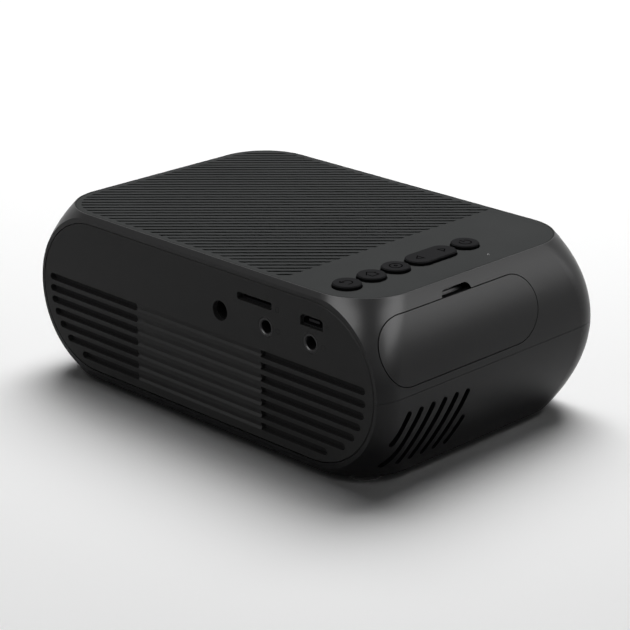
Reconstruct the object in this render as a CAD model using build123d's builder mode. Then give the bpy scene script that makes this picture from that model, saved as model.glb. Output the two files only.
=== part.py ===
"""A small battery LED projector: bulged two-part housing, ribbed top, vented side panels and optics.

Frame: +X is the side with the sockets, +Y the rear end with the battery door, +Z up. The lens looks along -Y.
The origin lies under the middle of the body, at the undersides of the feet. All sizes are in millimetres.
"""

import os
from math import cos, pi, radians, sin, sqrt, tan

from build123d import *

os.makedirs("parts", exist_ok=True)

# ---------------------------------------------------------------- housing
half_width = 42.5  # flat top and bottom outline, across
half_length = 61.9  # flat top and bottom outline, along
side_bulge = 6.0  # how far the sides swell at mid-height before the side flats cut them
end_bulge = 6.9  # how far the ends swell at mid-height
body_height = 49.1
foot_height = 2.0
corner_radius = 15.8  # at the top and the bottom
waist_corner_radius = 11.8  # at mid-height, where the corners swell most
form_steps = 3  # sections of the body's form above and below mid-height
flat_x = half_width + 0.7  # the flats that carry the side panels
wall = 2.0
roof = 2.0
split_z = 26.65  # where the two shells meet
seam = 0.1
fit_gap = 0.1  # between pieces that seat in one another

# ---------------------------------------------------------------- top panel and its ribs
top_rim = 0.3  # shell left showing round the top panel
panel_thickness = 1.6
panel_edge = 0.2
groove_pitch = 2.5
groove_width = 0.9
groove_depth = 0.35
groove_margin = 1.7
groove_end_y = half_length - 30.6  # the ribs stop here and the smooth key field starts
groove_angle = 135

# ---------------------------------------------------------------- side panels
side_half_length = half_length + 3.85
side_half_height = body_height / 2 - 2.65
side_proud = 0.1
side_gap = 0.2
side_ledge = 2.4
vent_rows = 7
vent_pitch = 3.46
vent_top_z = 28.95
vent_height = 2.1
vent_inner_y = 24.9
vent_margin = 2.7
screen_thickness = 0.5  # the dust screens behind the vents
screen_margin = 1.0
rib_depth = 0.5  # shallow grooves that join the two groups of vents
rib_offset = 0.35  # their deepest line lies this far under the middle

# ---------------------------------------------------------------- keys
key_y = half_length - 14.45
key_pitch = 9.13
first_key_x = half_width - 8.5
key_radius = 3.9
key_raise = 1.0
key_gap = 0.2
key_flange = 0.4  # how much wider the retaining flange is than the cap
key_flange_thickness = 0.6
key_edge = 0.3
key_travel = 0.3
stem_radius = 1.2
stem_length = 0.8
rocker_reach = 4.6  # from the rocker's pivot to each of its switches
rocker_pivot_radius = 0.75
rocker_pivot_drop = 0.8  # pivot centre under the top panel's lower face
running_gap = 0.05
switch_size = 4.0
switch_height = 1.2
plunger_radius = 0.9
plunger_depth = 1.1
switch_floor = 0.2
switch_clearance = 0.12  # round the plungers, enough for the rocker's small tilt
key_board_thickness = 1.0
key_boss_gap = 2.1  # from the key window to the middles of the bosses beside it
key_boss_drop = 2.9
cradle_width = 1.2

# ---------------------------------------------------------------- indicator
indicator_x = half_width - 53.0
indicator_y = half_length - 5.2
indicator_radius = 0.4
pipe_width = 1.2
pipe_height = 1.1
pipe_reach = 9.6
led_chip_length, led_chip_width, led_chip_height = 1.6, 0.8, 0.6
led_tab_half = 2.0  # the tongue of the key board that carries the indicator's LED
led_tab_end = 1.5

# ---------------------------------------------------------------- battery door, bay and cell
door_x = half_width - 31.5
door_z = 38.1
door_length = 59.4
door_height = 18.1
door_thickness = 1.6
door_gap = 0.25
door_ledge = 1.2
door_rim_depth_y = half_length + 1.1  # the locating rim on the door's inner face ends here
door_rim_wall = 1.2
door_rim_gap = 0.5
notch_width = 11.3
notch_height = 2.0
notch_depth = 3.0
notch_corner = 1.9
notch_x = door_x - 0.7
bay_wall = 1.3
cell_radius = 7.0
cell_length = 43.0
cell_clearance = 0.2
cell_nub_radius = 2.75
cell_nub_length = 1.0
cell_y = half_length - 3.8
contact_thickness = 0.4
contact_width = 6.0
contact_inset = 1.2
contact_reach = 3.6
cell_edge = 0.6

# ---------------------------------------------------------------- slanted slots in the rear
slot_count = 7
slot_pitch = 4.55
slot_width = 1.9
slot_angle = 30  # from upright
slot_first_x = half_width - 10.1
slot_top_z = 22.25
slot_bottom_z = 6.1
slot_reach_y = half_length - 2.9  # the slots are cut from the rear to here
slot_left_x = slot_first_x - 22.6
slot_right_x = slot_first_x + 5.2

# ---------------------------------------------------------------- sockets on the port side
dc_y, dc_hole_radius, dc_bore_radius, dc_pin_radius = 9.5, 2.83, 2.45, 0.85
dc_width, dc_depth, dc_bore_depth = 8.4, 10.8, 9.5
av_y, phones_y = 27.05, 43.55
jack_collar_radius = 2.62
jack_bore_radius = 1.8
jack_mouth = 0.25
jack_width, jack_height, jack_depth = 6.0, 5.6, 12.5
jack_back = 1.0
card_y, card_z, card_width, card_height, card_corner = 22.75, 43.1, 13.0, 2.1, 0.6
card_mouth_width, card_mouth_height = 11.4, 1.2
card_body_width, card_body_depth, card_body_height, card_body_wall = 14.0, 15.0, 3.0, 2.0
micro_y, micro_width, micro_height, micro_depth = 43.9, 7.7, 2.7, 5.6
micro_tongue = 3.8
micro_bevel = 0.8
tongue_thickness = 0.7
socket_wall = 0.3
socket_gap = 0.2

# ---------------------------------------------------------------- sockets on the far side
hdmi_y, hdmi_width, hdmi_height, hdmi_depth = 18.0, 15.0, 5.6, 11.0
hdmi_bevel, hdmi_tongue = 1.6, 11.0
usb_tongue = 11.2
usb_y, usb_width, usb_height, usb_depth = 38.0, 13.2, 5.8, 12.0
side_board_top = 33.0

# ---------------------------------------------------------------- boards
board_thickness = 1.6
main_board_top = 41.3
board_edge_x = flat_x - 2.6
main_board_inner_x = board_edge_x - 23.0
main_board_front_y = 4.0
main_board_rear_y = half_length - 13.9
post_radius = 2.5
board_screw_radius = 1.0
board_screw_head = 1.8
board_screw_head_height = 0.9
board_screw_length = 5.0
key_screw_length = 2.6
side_board_inner_x = 13.0 - board_edge_x
side_board_front_y = 3.0
side_board_rear_y = 46.0
side_post_x = 6.5 - board_edge_x
post_inset = 3.5
key_post_gap = 6.8  # from the key window to the middle of the post in front of it

# ---------------------------------------------------------------- optics
axis_x = -5.0
axis_z = split_z
lens_radius = 10.55
barrel_radius = 12.0
barrel_wall = 1.4
tube_wall = 1.45
ring_inner_radius = 13.8
ring_outer_radius = 15.8
ring_front_y = 0.1 - half_length - end_bulge
ring_length = 11.5
ring_flange = 1.6
ring_flange_length = 1.5
grip_count = 30
grip_radius = 0.5
grip_length = 5.0
bezel_radius = 18.0
bezel_front_y = ring_front_y + 1.1
bezel_rear_y = ring_front_y + 9.7
moving_gap = 0.3
follower_radius = 1.0
follower_y = ring_front_y + 6.7
follower_tip = 14.8
groove_clearance = 0.15
focus_lead = 6.0  # barrel travel for one full turn of the ring
focus_turn = 60.0  # each way from the middle
focus_groove_depth = 1.2
focus_groove_run = 8.0  # how many degrees the grooves run past each limit
slide_slot_width = 2.2
barrel_front_y = ring_front_y + 1.7
barrel_rear_y = ring_front_y + 28.7
barrel_waist_radius = 9.6
front_lens_y, front_lens_length, front_lens_sag = ring_front_y + 2.2, 4.5, 1.2
rear_lens_front_y, rear_lens_length, rear_lens_sag = ring_front_y + 24.7, 3.5, 0.8
pin_root = 10.8  # radius at which the follower pins start in the barrel's wall
retainer_radius = 9.9
retainer_length = 1.5
tube_front_y = ring_front_y + 2.7
tube_flange_radius = 17.0
tube_flange_length = 1.5
bezel_flange_radius = 19.5
bezel_flange_y = ring_front_y + 7.3
bezel_flange_length = 1.5
engine_width = 42.0
engine_floor_z = 6.8
engine_height = 38.0
engine_wall = 1.6
rail_inset = 5.0
rail_width = 2.0
engine_front_y = -30.0
engine_rear_y = 24.5
plate_groove = 0.6
plate_thickness = 2.0
holder_thickness = 4.0
lid_thickness = 1.6
fresnel_rear_y, panel_y, fresnel_front_y = 0.0, -4.0, -8.0
condenser_y, condenser_length, condenser_sag = 14.0, 6.0, 4.0
condenser_radius, condenser_seat = 14.0, 1.0
led_size, led_thickness = 20.0, 1.5
led_dome_radius, led_dome_height, led_dome_sag = 4.0, 2.5, 2.1
sink_base = 3.0
fin_length = 10.5
fin_thickness = 1.2
fin_count = 11

# ---------------------------------------------------------------- fan
fan_size = 40.0
fan_depth = 10.0
fan_bore_radius = 19.0
fan_hub_radius = 8.5
fan_hub_wall = 1.0
blade_count = 7
blade_tip_radius = 18.3
blade_chord = 9.0
blade_thickness = 1.0
blade_angle = 40
blade_spare = 2.0  # trimmed off the blades by their tip circle
hub_front_gap = 0.6
hub_rear_gap = 0.5
strut_width = 2.2
strut_thickness = 1.6
strut_count = 4
strut_root = 0.5  # how far the struts run into the frame
shaft_radius = 1.0
bearing_radius = 2.2
fan_screw_radius = 1.6
fan_screw_spacing = 32.0

# ---------------------------------------------------------------- loudspeaker
speaker_x = half_width - 21.5
speaker_z = 14.0
speaker_width = 28.0
speaker_height = 18.0
speaker_corner = 8.0
speaker_front_y = half_length - 1.9
speaker_depth = 2.6
magnet_radius = 6.5
magnet_depth = 2.4
cone_margin = 1.6
cone_thickness = 0.8
cradle_half = 5.0
cradle_lip = 1.0
rib_width = 1.2

# ---------------------------------------------------------------- feet, screws and tripod nut
foot_x, foot_y = half_width - 9.9, half_length - 8.7
foot_radius = 4.7
foot_edge = 0.5
foot_plug_length = 2.5
foot_plug_radius = 2.5
boss_radius = 3.6
case_screw_radius = 1.25
case_screw_head_radius = 2.4
case_screw_head_height = 1.6
case_screw_seat_z = 20.0
case_screw_length = 9.3
screw_clearance = 0.15
pilot_clearance = 0.02
pilot_extra = 0.5  # free depth past a screw's tip
tripod_radius = 2.55
tripod_nut_radius = 4.2
tripod_length = 4.5
tripod_boss_radius = 6.4

# ---------------------------------------------------------------- heights and places worked out from these
body_top = foot_height + body_height
mid_z = foot_height + body_height / 2
floor_z = foot_height + wall
panel_under = body_top - panel_thickness
roof_under = panel_under - roof
side_outer_x = flat_x + side_proud
side_inner_x = side_outer_x - panel_thickness
side_straight = side_half_length - side_half_height
reach_y = half_length + end_bulge + wall  # past the ends of the body
reach_x = half_width + side_bulge + wall
key_top = body_top + key_raise
key_flange_top = panel_under - fit_gap
stem_end = key_flange_top - key_flange_thickness - stem_length
plunger_top = stem_end - running_gap
key_board_top = plunger_top - plunger_depth / 2 - switch_height
key_board_under = key_board_top - key_board_thickness
rocker_x = first_key_x - 3 * key_pitch - key_pitch / 2
power_x = first_key_x - 5 * key_pitch
round_key_names = ["back", "home", "ok", "power"]
round_key_xs = [first_key_x, first_key_x - key_pitch, first_key_x - 2 * key_pitch, power_x]
rocker_pivot_z = panel_under - rocker_pivot_drop
bay_half_height = door_height / 2 - door_ledge
bay_half_length = door_length / 2 - door_ledge
bay_front_y = cell_y - cell_radius - fit_gap
cell_z = door_z - bay_half_height + cell_radius + cell_clearance
main_board_under = main_board_top - board_thickness
jack_z = main_board_under - jack_height / 2
socket_face_x = side_inner_x - socket_gap
engine_top = engine_floor_z + engine_height
engine_low_x = axis_x - engine_width / 2
engine_high_x = axis_x + engine_width / 2
fan_front_y = engine_rear_y + sink_base + fin_length
fan_rear_y = fan_front_y + fan_depth
fan_z = floor_z + fan_size / 2
tube_inner_radius = barrel_radius + running_gap
tube_outer_radius = tube_inner_radius + tube_wall
focus_travel = focus_lead * focus_turn / 360
side_post_places = (
    (side_post_x, side_board_front_y + post_radius + 1.0),
    (side_post_x, (hdmi_y + hdmi_width / 2 + usb_y - usb_width / 2) / 2),
)
foot_places = [(x, y) for x in (-foot_x, foot_x) for y in (-foot_y, foot_y)]


def level(z):
    """The flat plane at height z; a sketch on it reads X, Y."""
    return Plane.XY.offset(z)


def across(y):
    """The upright plane at y; a sketch on it reads X, Z and a positive extrusion runs towards -Y."""
    return Plane.XZ.offset(-y)


def beside(x):
    """The upright plane at x; a sketch on it reads Y, Z and a positive extrusion runs towards +X."""
    return Plane.YZ.offset(x)


def slab(x_low, x_high, y_low, y_high, z_low, z_high, mode=Mode.ADD):
    """A straight-sided block between the given limits, in the part being built."""
    with Locations(((x_low + x_high) / 2, (y_low + y_high) / 2, (z_low + z_high) / 2)):
        Box(x_high - x_low, y_high - y_low, z_high - z_low, mode=mode)


def post(x, y, radius, z_low, z_high, mode=Mode.ADD):
    """A round post or hole along Z."""
    with BuildSketch(level(z_low)) as ring:
        with Locations((x, y)):
            Circle(radius)
    extrude(ring.sketch, amount=z_high - z_low, mode=mode)


def rod(x, z, radius, y_low, y_high, mode=Mode.ADD):
    """A round rod or hole along Y."""
    with BuildSketch(across(y_high)) as ring:
        with Locations((x, z)):
            Circle(radius)
    extrude(ring.sketch, amount=y_high - y_low, mode=mode)


def spigot(y, z, radius, x_low, x_high, mode=Mode.ADD):
    """A round spigot or hole along X."""
    with BuildSketch(beside(x_low)) as ring:
        with Locations((y, z)):
            Circle(radius)
    extrude(ring.sketch, amount=x_high - x_low, mode=mode)


def arc_half(half, bulge, inset, z):
    """Half the body's width or length at height z, on an arc through its edges, moved inwards by inset."""
    radius = ((body_height / 2) ** 2 + bulge**2) / (2 * bulge)
    return half + bulge - radius + sqrt((radius - inset) ** 2 - (z - mid_z) ** 2)


def body_form(inset):
    """The bulged body as one solid, with every face moved inwards by inset."""
    with BuildPart() as form:
        for step in range(-form_steps, form_steps + 1):
            share = step / form_steps
            z = mid_z + share * (body_height / 2 - inset)
            radius = waist_corner_radius + (corner_radius - waist_corner_radius) * share**2
            with BuildSketch(level(z)):
                RectangleRounded(
                    2 * arc_half(half_width, side_bulge, inset, z),
                    2 * arc_half(half_length, end_bulge, inset, z),
                    radius - inset,
                )
        loft()
        slab(inset - flat_x, flat_x - inset, -reach_y, reach_y, 0, body_top, mode=Mode.INTERSECT)
    return form.part


def save(part, name):
    """Labels a finished piece and writes it to its own file."""
    part.label = name
    export_step(part, f"parts/{name}.step")


def turned(*outline, mode=Mode.ADD):
    """Turns an outline of (radius, y) points about the optical axis."""
    with BuildSketch(level(axis_z)) as profile:
        with Locations((axis_x, 0)):
            Polygon(*outline, align=None)
    revolve(profile.sketch, axis=optical_axis, mode=mode)


def lens(radius, front_y, rear_y, front_sag, rear_sag=0.0):
    """A lens on the optical axis between its two vertices, its edge turned to radius."""
    low_x, high_x = axis_x - radius, axis_x + radius
    with BuildPart() as blank:
        with BuildSketch(level(axis_z)):
            with BuildLine():
                front = ThreePointArc(
                    (high_x, front_y + front_sag), (axis_x, front_y), (low_x, front_y + front_sag),
                )
                edge = Line(front @ 1, (low_x, rear_y - rear_sag))
                if rear_sag:
                    rear = ThreePointArc(edge @ 1, (axis_x, rear_y), (high_x, rear_y - rear_sag))
                else:
                    rear = Line(edge @ 1, (high_x, rear_y))
                Line(rear @ 1, front @ 0)
            make_face()
            with Locations((axis_x + reach_x / 2, 0)):
                Rectangle(reach_x, 2 * reach_y, mode=Mode.INTERSECT)
        revolve(axis=optical_axis)
    return blank.part


def side_outline(x, grow, length, mode):
    """Cuts or adds the long round-ended outline of a side panel, from x over the given length along +X."""
    with BuildSketch(beside(x)) as outline:
        with Locations((0, mid_z)):
            SlotOverall(2 * (side_half_length + grow), 2 * (side_half_height + grow))
    extrude(outline.sketch, amount=length, mode=mode)


def door_outline(y, grow, mode, depth=reach_y):
    """Cuts or adds the battery door's outline grown by grow, from the plane y out past the rear."""
    with BuildSketch(across(y)) as outline:
        with Locations((door_x, door_z)):
            SlotOverall(door_length + 2 * grow, door_height + 2 * grow)
    extrude(outline.sketch, amount=-depth, mode=mode)


optical_axis = Axis((axis_x, 0, axis_z), (0, 1, 0))
outer_form = body_form(0)
inner_form = body_form(wall)
door_under_form = body_form(door_thickness)
door_seat_form = body_form(door_thickness + fit_gap)
notch_form = body_form(notch_depth)

# ================================================================ shells
lip_y = bay_front_y - bay_wall
key_window_low_x = power_x - key_radius - key_flange - moving_gap
key_window_high_x = first_key_x + key_radius + key_flange + moving_gap
key_window_half = key_radius + key_flange + moving_gap
key_boss_places = (
    (key_window_low_x - key_boss_gap, key_y - key_boss_drop),
    (first_key_x - key_pitch / 2, key_y - key_window_half - key_boss_gap),
)
main_post_places = (
    (main_board_inner_x + post_inset, main_board_front_y + post_inset),
    (main_board_inner_x + post_inset, key_y - key_window_half - key_post_gap),
    (board_edge_x - post_inset, (card_y + card_body_width / 2 + micro_y - micro_width / 2) / 2),
)

with BuildPart() as upper_cavity:
    add(inner_form)
    split(bisect_by=level(roof_under), keep=Keep.BOTTOM)

with BuildPart() as bay_walls:
    door_outline(lip_y, bay_wall - door_ledge, Mode.ADD)
    add(outer_form, mode=Mode.INTERSECT)

with BuildPart() as upper_inside:
    for x, y in foot_places:
        top_z = door_z if (x > 0 and y > 0) else roof_under + roof / 2
        post(x, y, boss_radius, split_z + seam / 2, top_z)
    for x, y in main_post_places:
        post(x, y, post_radius, main_board_top, roof_under + roof / 2)
    for x, y in key_boss_places:
        post(x, y, board_screw_head, key_board_top, roof_under + roof / 2)

with BuildPart() as door_pocket:
    door_outline(half_length - wall, door_gap, Mode.ADD)
    with BuildSketch(across(half_length - wall)):
        with Locations((notch_x, door_z + door_height / 2)):
            RectangleRounded(notch_width, 2 * notch_height, notch_corner)
    extrude(amount=-reach_y)
    add(door_seat_form, mode=Mode.SUBTRACT)

with BuildPart() as notch_pocket:
    with BuildSketch(across(half_length - wall)):
        with Locations((notch_x, door_z + door_height / 2)):
            RectangleRounded(notch_width, 2 * notch_height, notch_corner)
    extrude(amount=-reach_y)
    add(notch_form, mode=Mode.SUBTRACT)

with BuildPart() as upper_shell:
    add(outer_form)
    split(bisect_by=level(split_z + seam / 2), keep=Keep.TOP)
    add(upper_cavity.part, mode=Mode.SUBTRACT)
    add(upper_inside.part)
    add(bay_walls.part)
    with BuildSketch(level(panel_under)):
        RectangleRounded(
            2 * (half_width - top_rim + fit_gap),
            2 * (half_length - top_rim + fit_gap),
            corner_radius - top_rim + fit_gap,
        )
    extrude(amount=2 * panel_thickness, mode=Mode.SUBTRACT)
    slab(
        key_window_low_x, key_window_high_x, key_y - key_window_half, key_y + key_window_half,
        roof_under, panel_under, mode=Mode.SUBTRACT,
    )
    for side in (1, -1):
        side_outline(side * (side_inner_x - fit_gap), side_gap, side * reach_x, Mode.SUBTRACT)
        side_outline(side * (flat_x - 2 * wall), -side_ledge, side * reach_x, Mode.SUBTRACT)
    add(door_pocket.part, mode=Mode.SUBTRACT)
    add(notch_pocket.part, mode=Mode.SUBTRACT)
    door_outline(bay_front_y, -door_ledge, Mode.SUBTRACT)
    rod(axis_x, axis_z, bezel_radius + fit_gap, -reach_y, -half_length + wall, mode=Mode.SUBTRACT)
    for x, y in foot_places:
        tip_z = case_screw_seat_z + case_screw_length + pilot_extra
        post(x, y, case_screw_radius + pilot_clearance, 0, tip_z, mode=Mode.SUBTRACT)
    for x, y in main_post_places:
        tip_z = main_board_under + board_screw_length + pilot_extra
        post(x, y, board_screw_radius + pilot_clearance, 0, tip_z, mode=Mode.SUBTRACT)
    for x, y in key_boss_places:
        tip_z = key_board_under + key_screw_length + pilot_extra
        post(x, y, board_screw_radius + pilot_clearance, key_board_under, tip_z, mode=Mode.SUBTRACT)
    # cradles for the rocker's pivot, open upwards
    for end in (1, -1):
        cradle_y = key_y + end * (key_window_half + moving_gap)
        with BuildSketch(across(cradle_y + cradle_width / 2)):
            with Locations((rocker_x, rocker_pivot_z)):
                Circle(rocker_pivot_radius + running_gap)
            with Locations((rocker_x, rocker_pivot_z + panel_thickness / 2)):
                Rectangle(2 * (rocker_pivot_radius + running_gap), panel_thickness)
        extrude(amount=cradle_width, mode=Mode.SUBTRACT)
    # channel for the indicator's light pipe
    slab(
        indicator_x - pipe_reach - pipe_width / 2 - fit_gap, indicator_x + pipe_width / 2 + fit_gap,
        indicator_y - pipe_width / 2 - fit_gap, indicator_y + pipe_width / 2 + fit_gap,
        panel_under - pipe_height - 2 * fit_gap, panel_under, mode=Mode.SUBTRACT,
    )
    slab(
        indicator_x - pipe_reach - pipe_width / 2 - fit_gap, indicator_x - pipe_reach + pipe_width / 2 + fit_gap,
        indicator_y - pipe_width / 2 - fit_gap, indicator_y + pipe_width / 2 + fit_gap,
        roof_under - roof / 2, panel_under, mode=Mode.SUBTRACT,
    )
save(upper_shell.part, "upper_shell")

with BuildPart() as lower_inside:
    low_z = floor_z - wall / 2
    for x, y in foot_places:
        post(x, y, boss_radius, low_z, split_z - seam / 2)
    post(0, 0, tripod_boss_radius, low_z, foot_height + tripod_length + fit_gap)
    for x in (engine_low_x + rail_inset, engine_high_x - rail_inset):
        low_x, high_x = x - rail_width / 2, x + rail_width / 2
        slab(low_x, high_x, engine_front_y, fan_front_y - socket_gap, low_z, engine_floor_z)
        slab(low_x, high_x, fan_rear_y, fan_rear_y + rib_width, low_z, engine_floor_z)
    speaker_rear_y = speaker_front_y - speaker_depth
    slab(
        speaker_x - cradle_half, speaker_x + cradle_half, speaker_rear_y - rib_width,
        speaker_front_y + rib_width, low_z, speaker_z - speaker_height / 2 + cradle_lip,
    )
    slab(
        speaker_x - cradle_half, speaker_x + cradle_half, speaker_rear_y - running_gap,
        speaker_front_y + running_gap, speaker_z - speaker_height / 2, floor_z + speaker_height,
        mode=Mode.SUBTRACT,
    )
    for x, y in side_post_places:
        post(x, y, post_radius, low_z, side_board_top - board_thickness)

with BuildPart() as lower_shell:
    add(outer_form)
    split(bisect_by=level(split_z - seam / 2), keep=Keep.BOTTOM)
    add(inner_form, mode=Mode.SUBTRACT)
    add(lower_inside.part)
    for side in (1, -1):
        side_outline(side * (side_inner_x - fit_gap), side_gap, side * reach_x, Mode.SUBTRACT)
        side_outline(side * (flat_x - 2 * wall), -side_ledge, side * reach_x, Mode.SUBTRACT)
    rod(axis_x, axis_z, bezel_radius + fit_gap, -reach_y, -half_length + wall, mode=Mode.SUBTRACT)
    for x, y in foot_places:
        post(x, y, case_screw_head_radius + screw_clearance, 0, case_screw_seat_z, mode=Mode.SUBTRACT)
        post(x, y, case_screw_radius + screw_clearance, 0, split_z, mode=Mode.SUBTRACT)
    for x, y in side_post_places:
        tip_z = side_board_top - board_screw_length - pilot_extra
        post(x, y, board_screw_radius + pilot_clearance, tip_z, side_board_top, mode=Mode.SUBTRACT)
    post(0, 0, tripod_nut_radius, 0, mid_z, mode=Mode.SUBTRACT)
    # slanted slots, each trimmed to the upright field that they share
    slope = tan(radians(slot_angle))
    with BuildSketch(across(reach_y)):
        for index in range(slot_count):
            top_x = slot_first_x - index * slot_pitch
            start_z = slot_top_z - max(0, slot_left_x - top_x) / slope
            end_z = max(slot_bottom_z, slot_top_z - (slot_right_x - top_x) / slope)
            middle_z = (start_z + end_z) / 2
            length = (start_z - end_z) / cos(radians(slot_angle))
            with Locations((top_x + (slot_top_z - middle_z) * slope, middle_z)):
                SlotOverall(length, slot_width, rotation=slot_angle - 90)
    extrude(amount=reach_y - slot_reach_y, mode=Mode.SUBTRACT)
save(lower_shell.part, "lower_shell")

# ================================================================ top panel
with BuildPart() as top_panel:
    with BuildSketch(level(panel_under)):
        RectangleRounded(2 * (half_width - top_rim), 2 * (half_length - top_rim), corner_radius - top_rim)
    extrude(amount=panel_thickness)
    chamfer(top_panel.faces().sort_by(Axis.Z)[-1].edges(), panel_edge)
    with BuildSketch(level(body_top)):
        count = int(2 * (half_length + half_width) / groove_pitch)
        steps = [(index - count / 2) * groove_pitch / sqrt(2) for index in range(count + 1)]
        with Locations(*[(step, step) for step in steps]):
            Rectangle(2 * reach_y, groove_width, rotation=groove_angle)
        RectangleRounded(
            2 * (half_width - top_rim - groove_margin),
            2 * (half_length - top_rim - groove_margin),
            corner_radius - top_rim - groove_margin,
            mode=Mode.INTERSECT,
        )
        with Locations((0, groove_end_y - reach_y)):
            Rectangle(2 * reach_x, 2 * reach_y, mode=Mode.INTERSECT)
    extrude(amount=-groove_depth, mode=Mode.SUBTRACT)
    with BuildSketch(level(panel_under)):
        with Locations(*[(x, key_y) for x in round_key_xs]):
            Circle(key_radius + key_gap)
        with Locations((rocker_x, key_y)):
            SlotOverall(key_pitch + 2 * (key_radius + key_gap), 2 * (key_radius + key_gap))
        with Locations((indicator_x, indicator_y)):
            Circle(indicator_radius + running_gap)
    extrude(amount=panel_thickness, mode=Mode.SUBTRACT)
save(top_panel.part, "top_panel")


# ================================================================ side panels
def bevelled(width, height, bevel, grow=0.0, up=1):
    """Adds the outline of a socket with two bevelled corners, at the top if up is 1, to the sketch."""
    w, h = width / 2 + grow, (height / 2 + grow) * up
    b, b_z = bevel, bevel * up
    Polygon((-w, -h), (w, -h), (w, h - b_z), (w - b, h), (b - w, h), (-w, h - b_z), align=None)


with BuildPart() as panel_blank:
    side_outline(side_inner_x, 0, panel_thickness, Mode.ADD)
    chamfer(panel_blank.faces().sort_by(Axis.X)[-1].edges(), panel_edge)
    vent_round = vent_height / 2
    with BuildSketch(beside(side_inner_x)):
        for row in range(vent_rows):
            row_z = vent_top_z - row * vent_pitch
            outer_y = side_straight + sqrt((side_half_height - vent_margin) ** 2 - (row_z - mid_z) ** 2)
            centre_y = outer_y - vent_round
            for end in (1, -1):
                with Locations((end * (vent_inner_y + centre_y) / 2, row_z)):
                    Rectangle(centre_y - vent_inner_y, vent_height)
                with Locations((end * centre_y, row_z)):
                    Circle(vent_round)
    extrude(amount=panel_thickness, mode=Mode.SUBTRACT)
    with BuildSketch(across(vent_inner_y)):
        for row in range(vent_rows):
            row_z = vent_top_z - row * vent_pitch
            Polygon(
                (side_outer_x, row_z + vent_round),
                (side_outer_x - rib_depth, row_z - rib_offset),
                (side_outer_x, row_z - vent_round),
                align=None,
            )
    extrude(amount=2 * vent_inner_y, mode=Mode.SUBTRACT)

with BuildPart() as port_panel:
    add(panel_blank.part)
    with BuildSketch(beside(side_inner_x)):
        with Locations((dc_y, jack_z)):
            Circle(dc_hole_radius)
        with Locations((av_y, jack_z), (phones_y, jack_z)):
            Circle(jack_collar_radius + fit_gap)
        with Locations((card_y, card_z)):
            RectangleRounded(card_width, card_height, card_corner)
        with Locations((micro_y, main_board_top + micro_height / 2)):
            bevelled(micro_width, micro_height, micro_bevel, socket_gap)
    extrude(amount=panel_thickness, mode=Mode.SUBTRACT)
save(port_panel.part, "port_panel")

with BuildPart() as video_panel:
    add(mirror(panel_blank.part, about=Plane.YZ, mode=Mode.PRIVATE))
    with BuildSketch(beside(-side_outer_x)):
        with Locations((hdmi_y, side_board_top + hdmi_height / 2)):
            bevelled(hdmi_width, hdmi_height, hdmi_bevel, socket_gap, up=-1)
        with Locations((usb_y, side_board_top + usb_height / 2)):
            Rectangle(usb_width + 2 * socket_gap, usb_height + 2 * socket_gap)
    extrude(amount=panel_thickness, mode=Mode.SUBTRACT)
save(video_panel.part, "video_panel")

with BuildPart() as port_screens:
    side_outline(side_inner_x - screen_thickness, -side_ledge - fit_gap, screen_thickness, Mode.ADD)
    screen_top_z = vent_top_z + vent_round + screen_margin
    screen_inner_y = vent_inner_y - screen_margin
    slab(0, reach_x, -reach_y, reach_y, screen_top_z, body_top, mode=Mode.SUBTRACT)
    slab(0, reach_x, -screen_inner_y, screen_inner_y, 0, body_top, mode=Mode.SUBTRACT)

with BuildPart() as vent_screens:
    add(port_screens.part)
    add(mirror(port_screens.part, about=Plane.YZ, mode=Mode.PRIVATE))
save(vent_screens.part, "vent_screens")

# ================================================================ battery door, cell and contacts
door_core_form = body_form(door_thickness / 2)
with BuildPart() as door_rim:
    door_outline(door_rim_depth_y, -door_ledge - door_rim_gap, Mode.ADD)
    door_outline(door_rim_depth_y, -door_ledge - door_rim_gap - door_rim_wall, Mode.SUBTRACT)
    add(door_core_form, mode=Mode.INTERSECT)

with BuildPart() as battery_door:
    door_outline(half_length - wall, 0, Mode.ADD)
    add(outer_form, mode=Mode.INTERSECT)
    add(door_under_form, mode=Mode.SUBTRACT)
    add(door_rim.part)
save(battery_door.part, "battery_door")

cell_low_x = door_x - cell_length / 2
cell_high_x = door_x + cell_length / 2
with BuildPart() as battery_cell:
    spigot(cell_y, cell_z, cell_radius, cell_low_x, cell_high_x - cell_nub_length)
    chamfer(battery_cell.edges().filter_by(GeomType.CIRCLE), cell_edge)
    spigot(cell_y, cell_z, cell_nub_radius, cell_high_x - cell_nub_length, cell_high_x)
save(battery_cell.part, "battery_cell")

with BuildPart() as battery_contacts:
    with BuildSketch(level(cell_z - contact_width / 2)):
        for end in (1, -1):
            back_x = door_x + end * (bay_half_length - contact_inset)
            tip_x = door_x + end * (cell_length / 2 + contact_thickness / 2 + pilot_clearance)
            with BuildLine():
                Polyline(
                    (back_x, cell_y - contact_reach), (back_x, cell_y + contact_reach),
                    (tip_x, cell_y + contact_reach / 4), (tip_x, cell_y - contact_reach / 4),
                )
            trace(line_width=contact_thickness)
    extrude(amount=contact_width)
save(battery_contacts.part, "battery_contacts")


# ================================================================ keys, switches and indicator
def round_key(x):
    """A round key with its retaining flange under the top panel and its stem."""
    with BuildPart() as key:
        post(x, key_y, key_radius, key_flange_top, key_top)
        chamfer(key.faces().sort_by(Axis.Z)[-1].edges(), key_edge)
        post(x, key_y, key_radius + key_flange, key_flange_top - key_flange_thickness, key_flange_top)
        post(x, key_y, stem_radius, stem_end, key_flange_top - key_flange_thickness)
    return key.part


def switch_plunger(x):
    """The plunger of one tact switch, free to sink into its housing."""
    with BuildPart() as plunger:
        post(x, key_y, plunger_radius, plunger_top - plunger_depth, plunger_top)
    return plunger.part


for name, x in zip(round_key_names, round_key_xs):
    save(round_key(x), f"{name}_key")
    save(switch_plunger(x), f"{name}_plunger")

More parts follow.
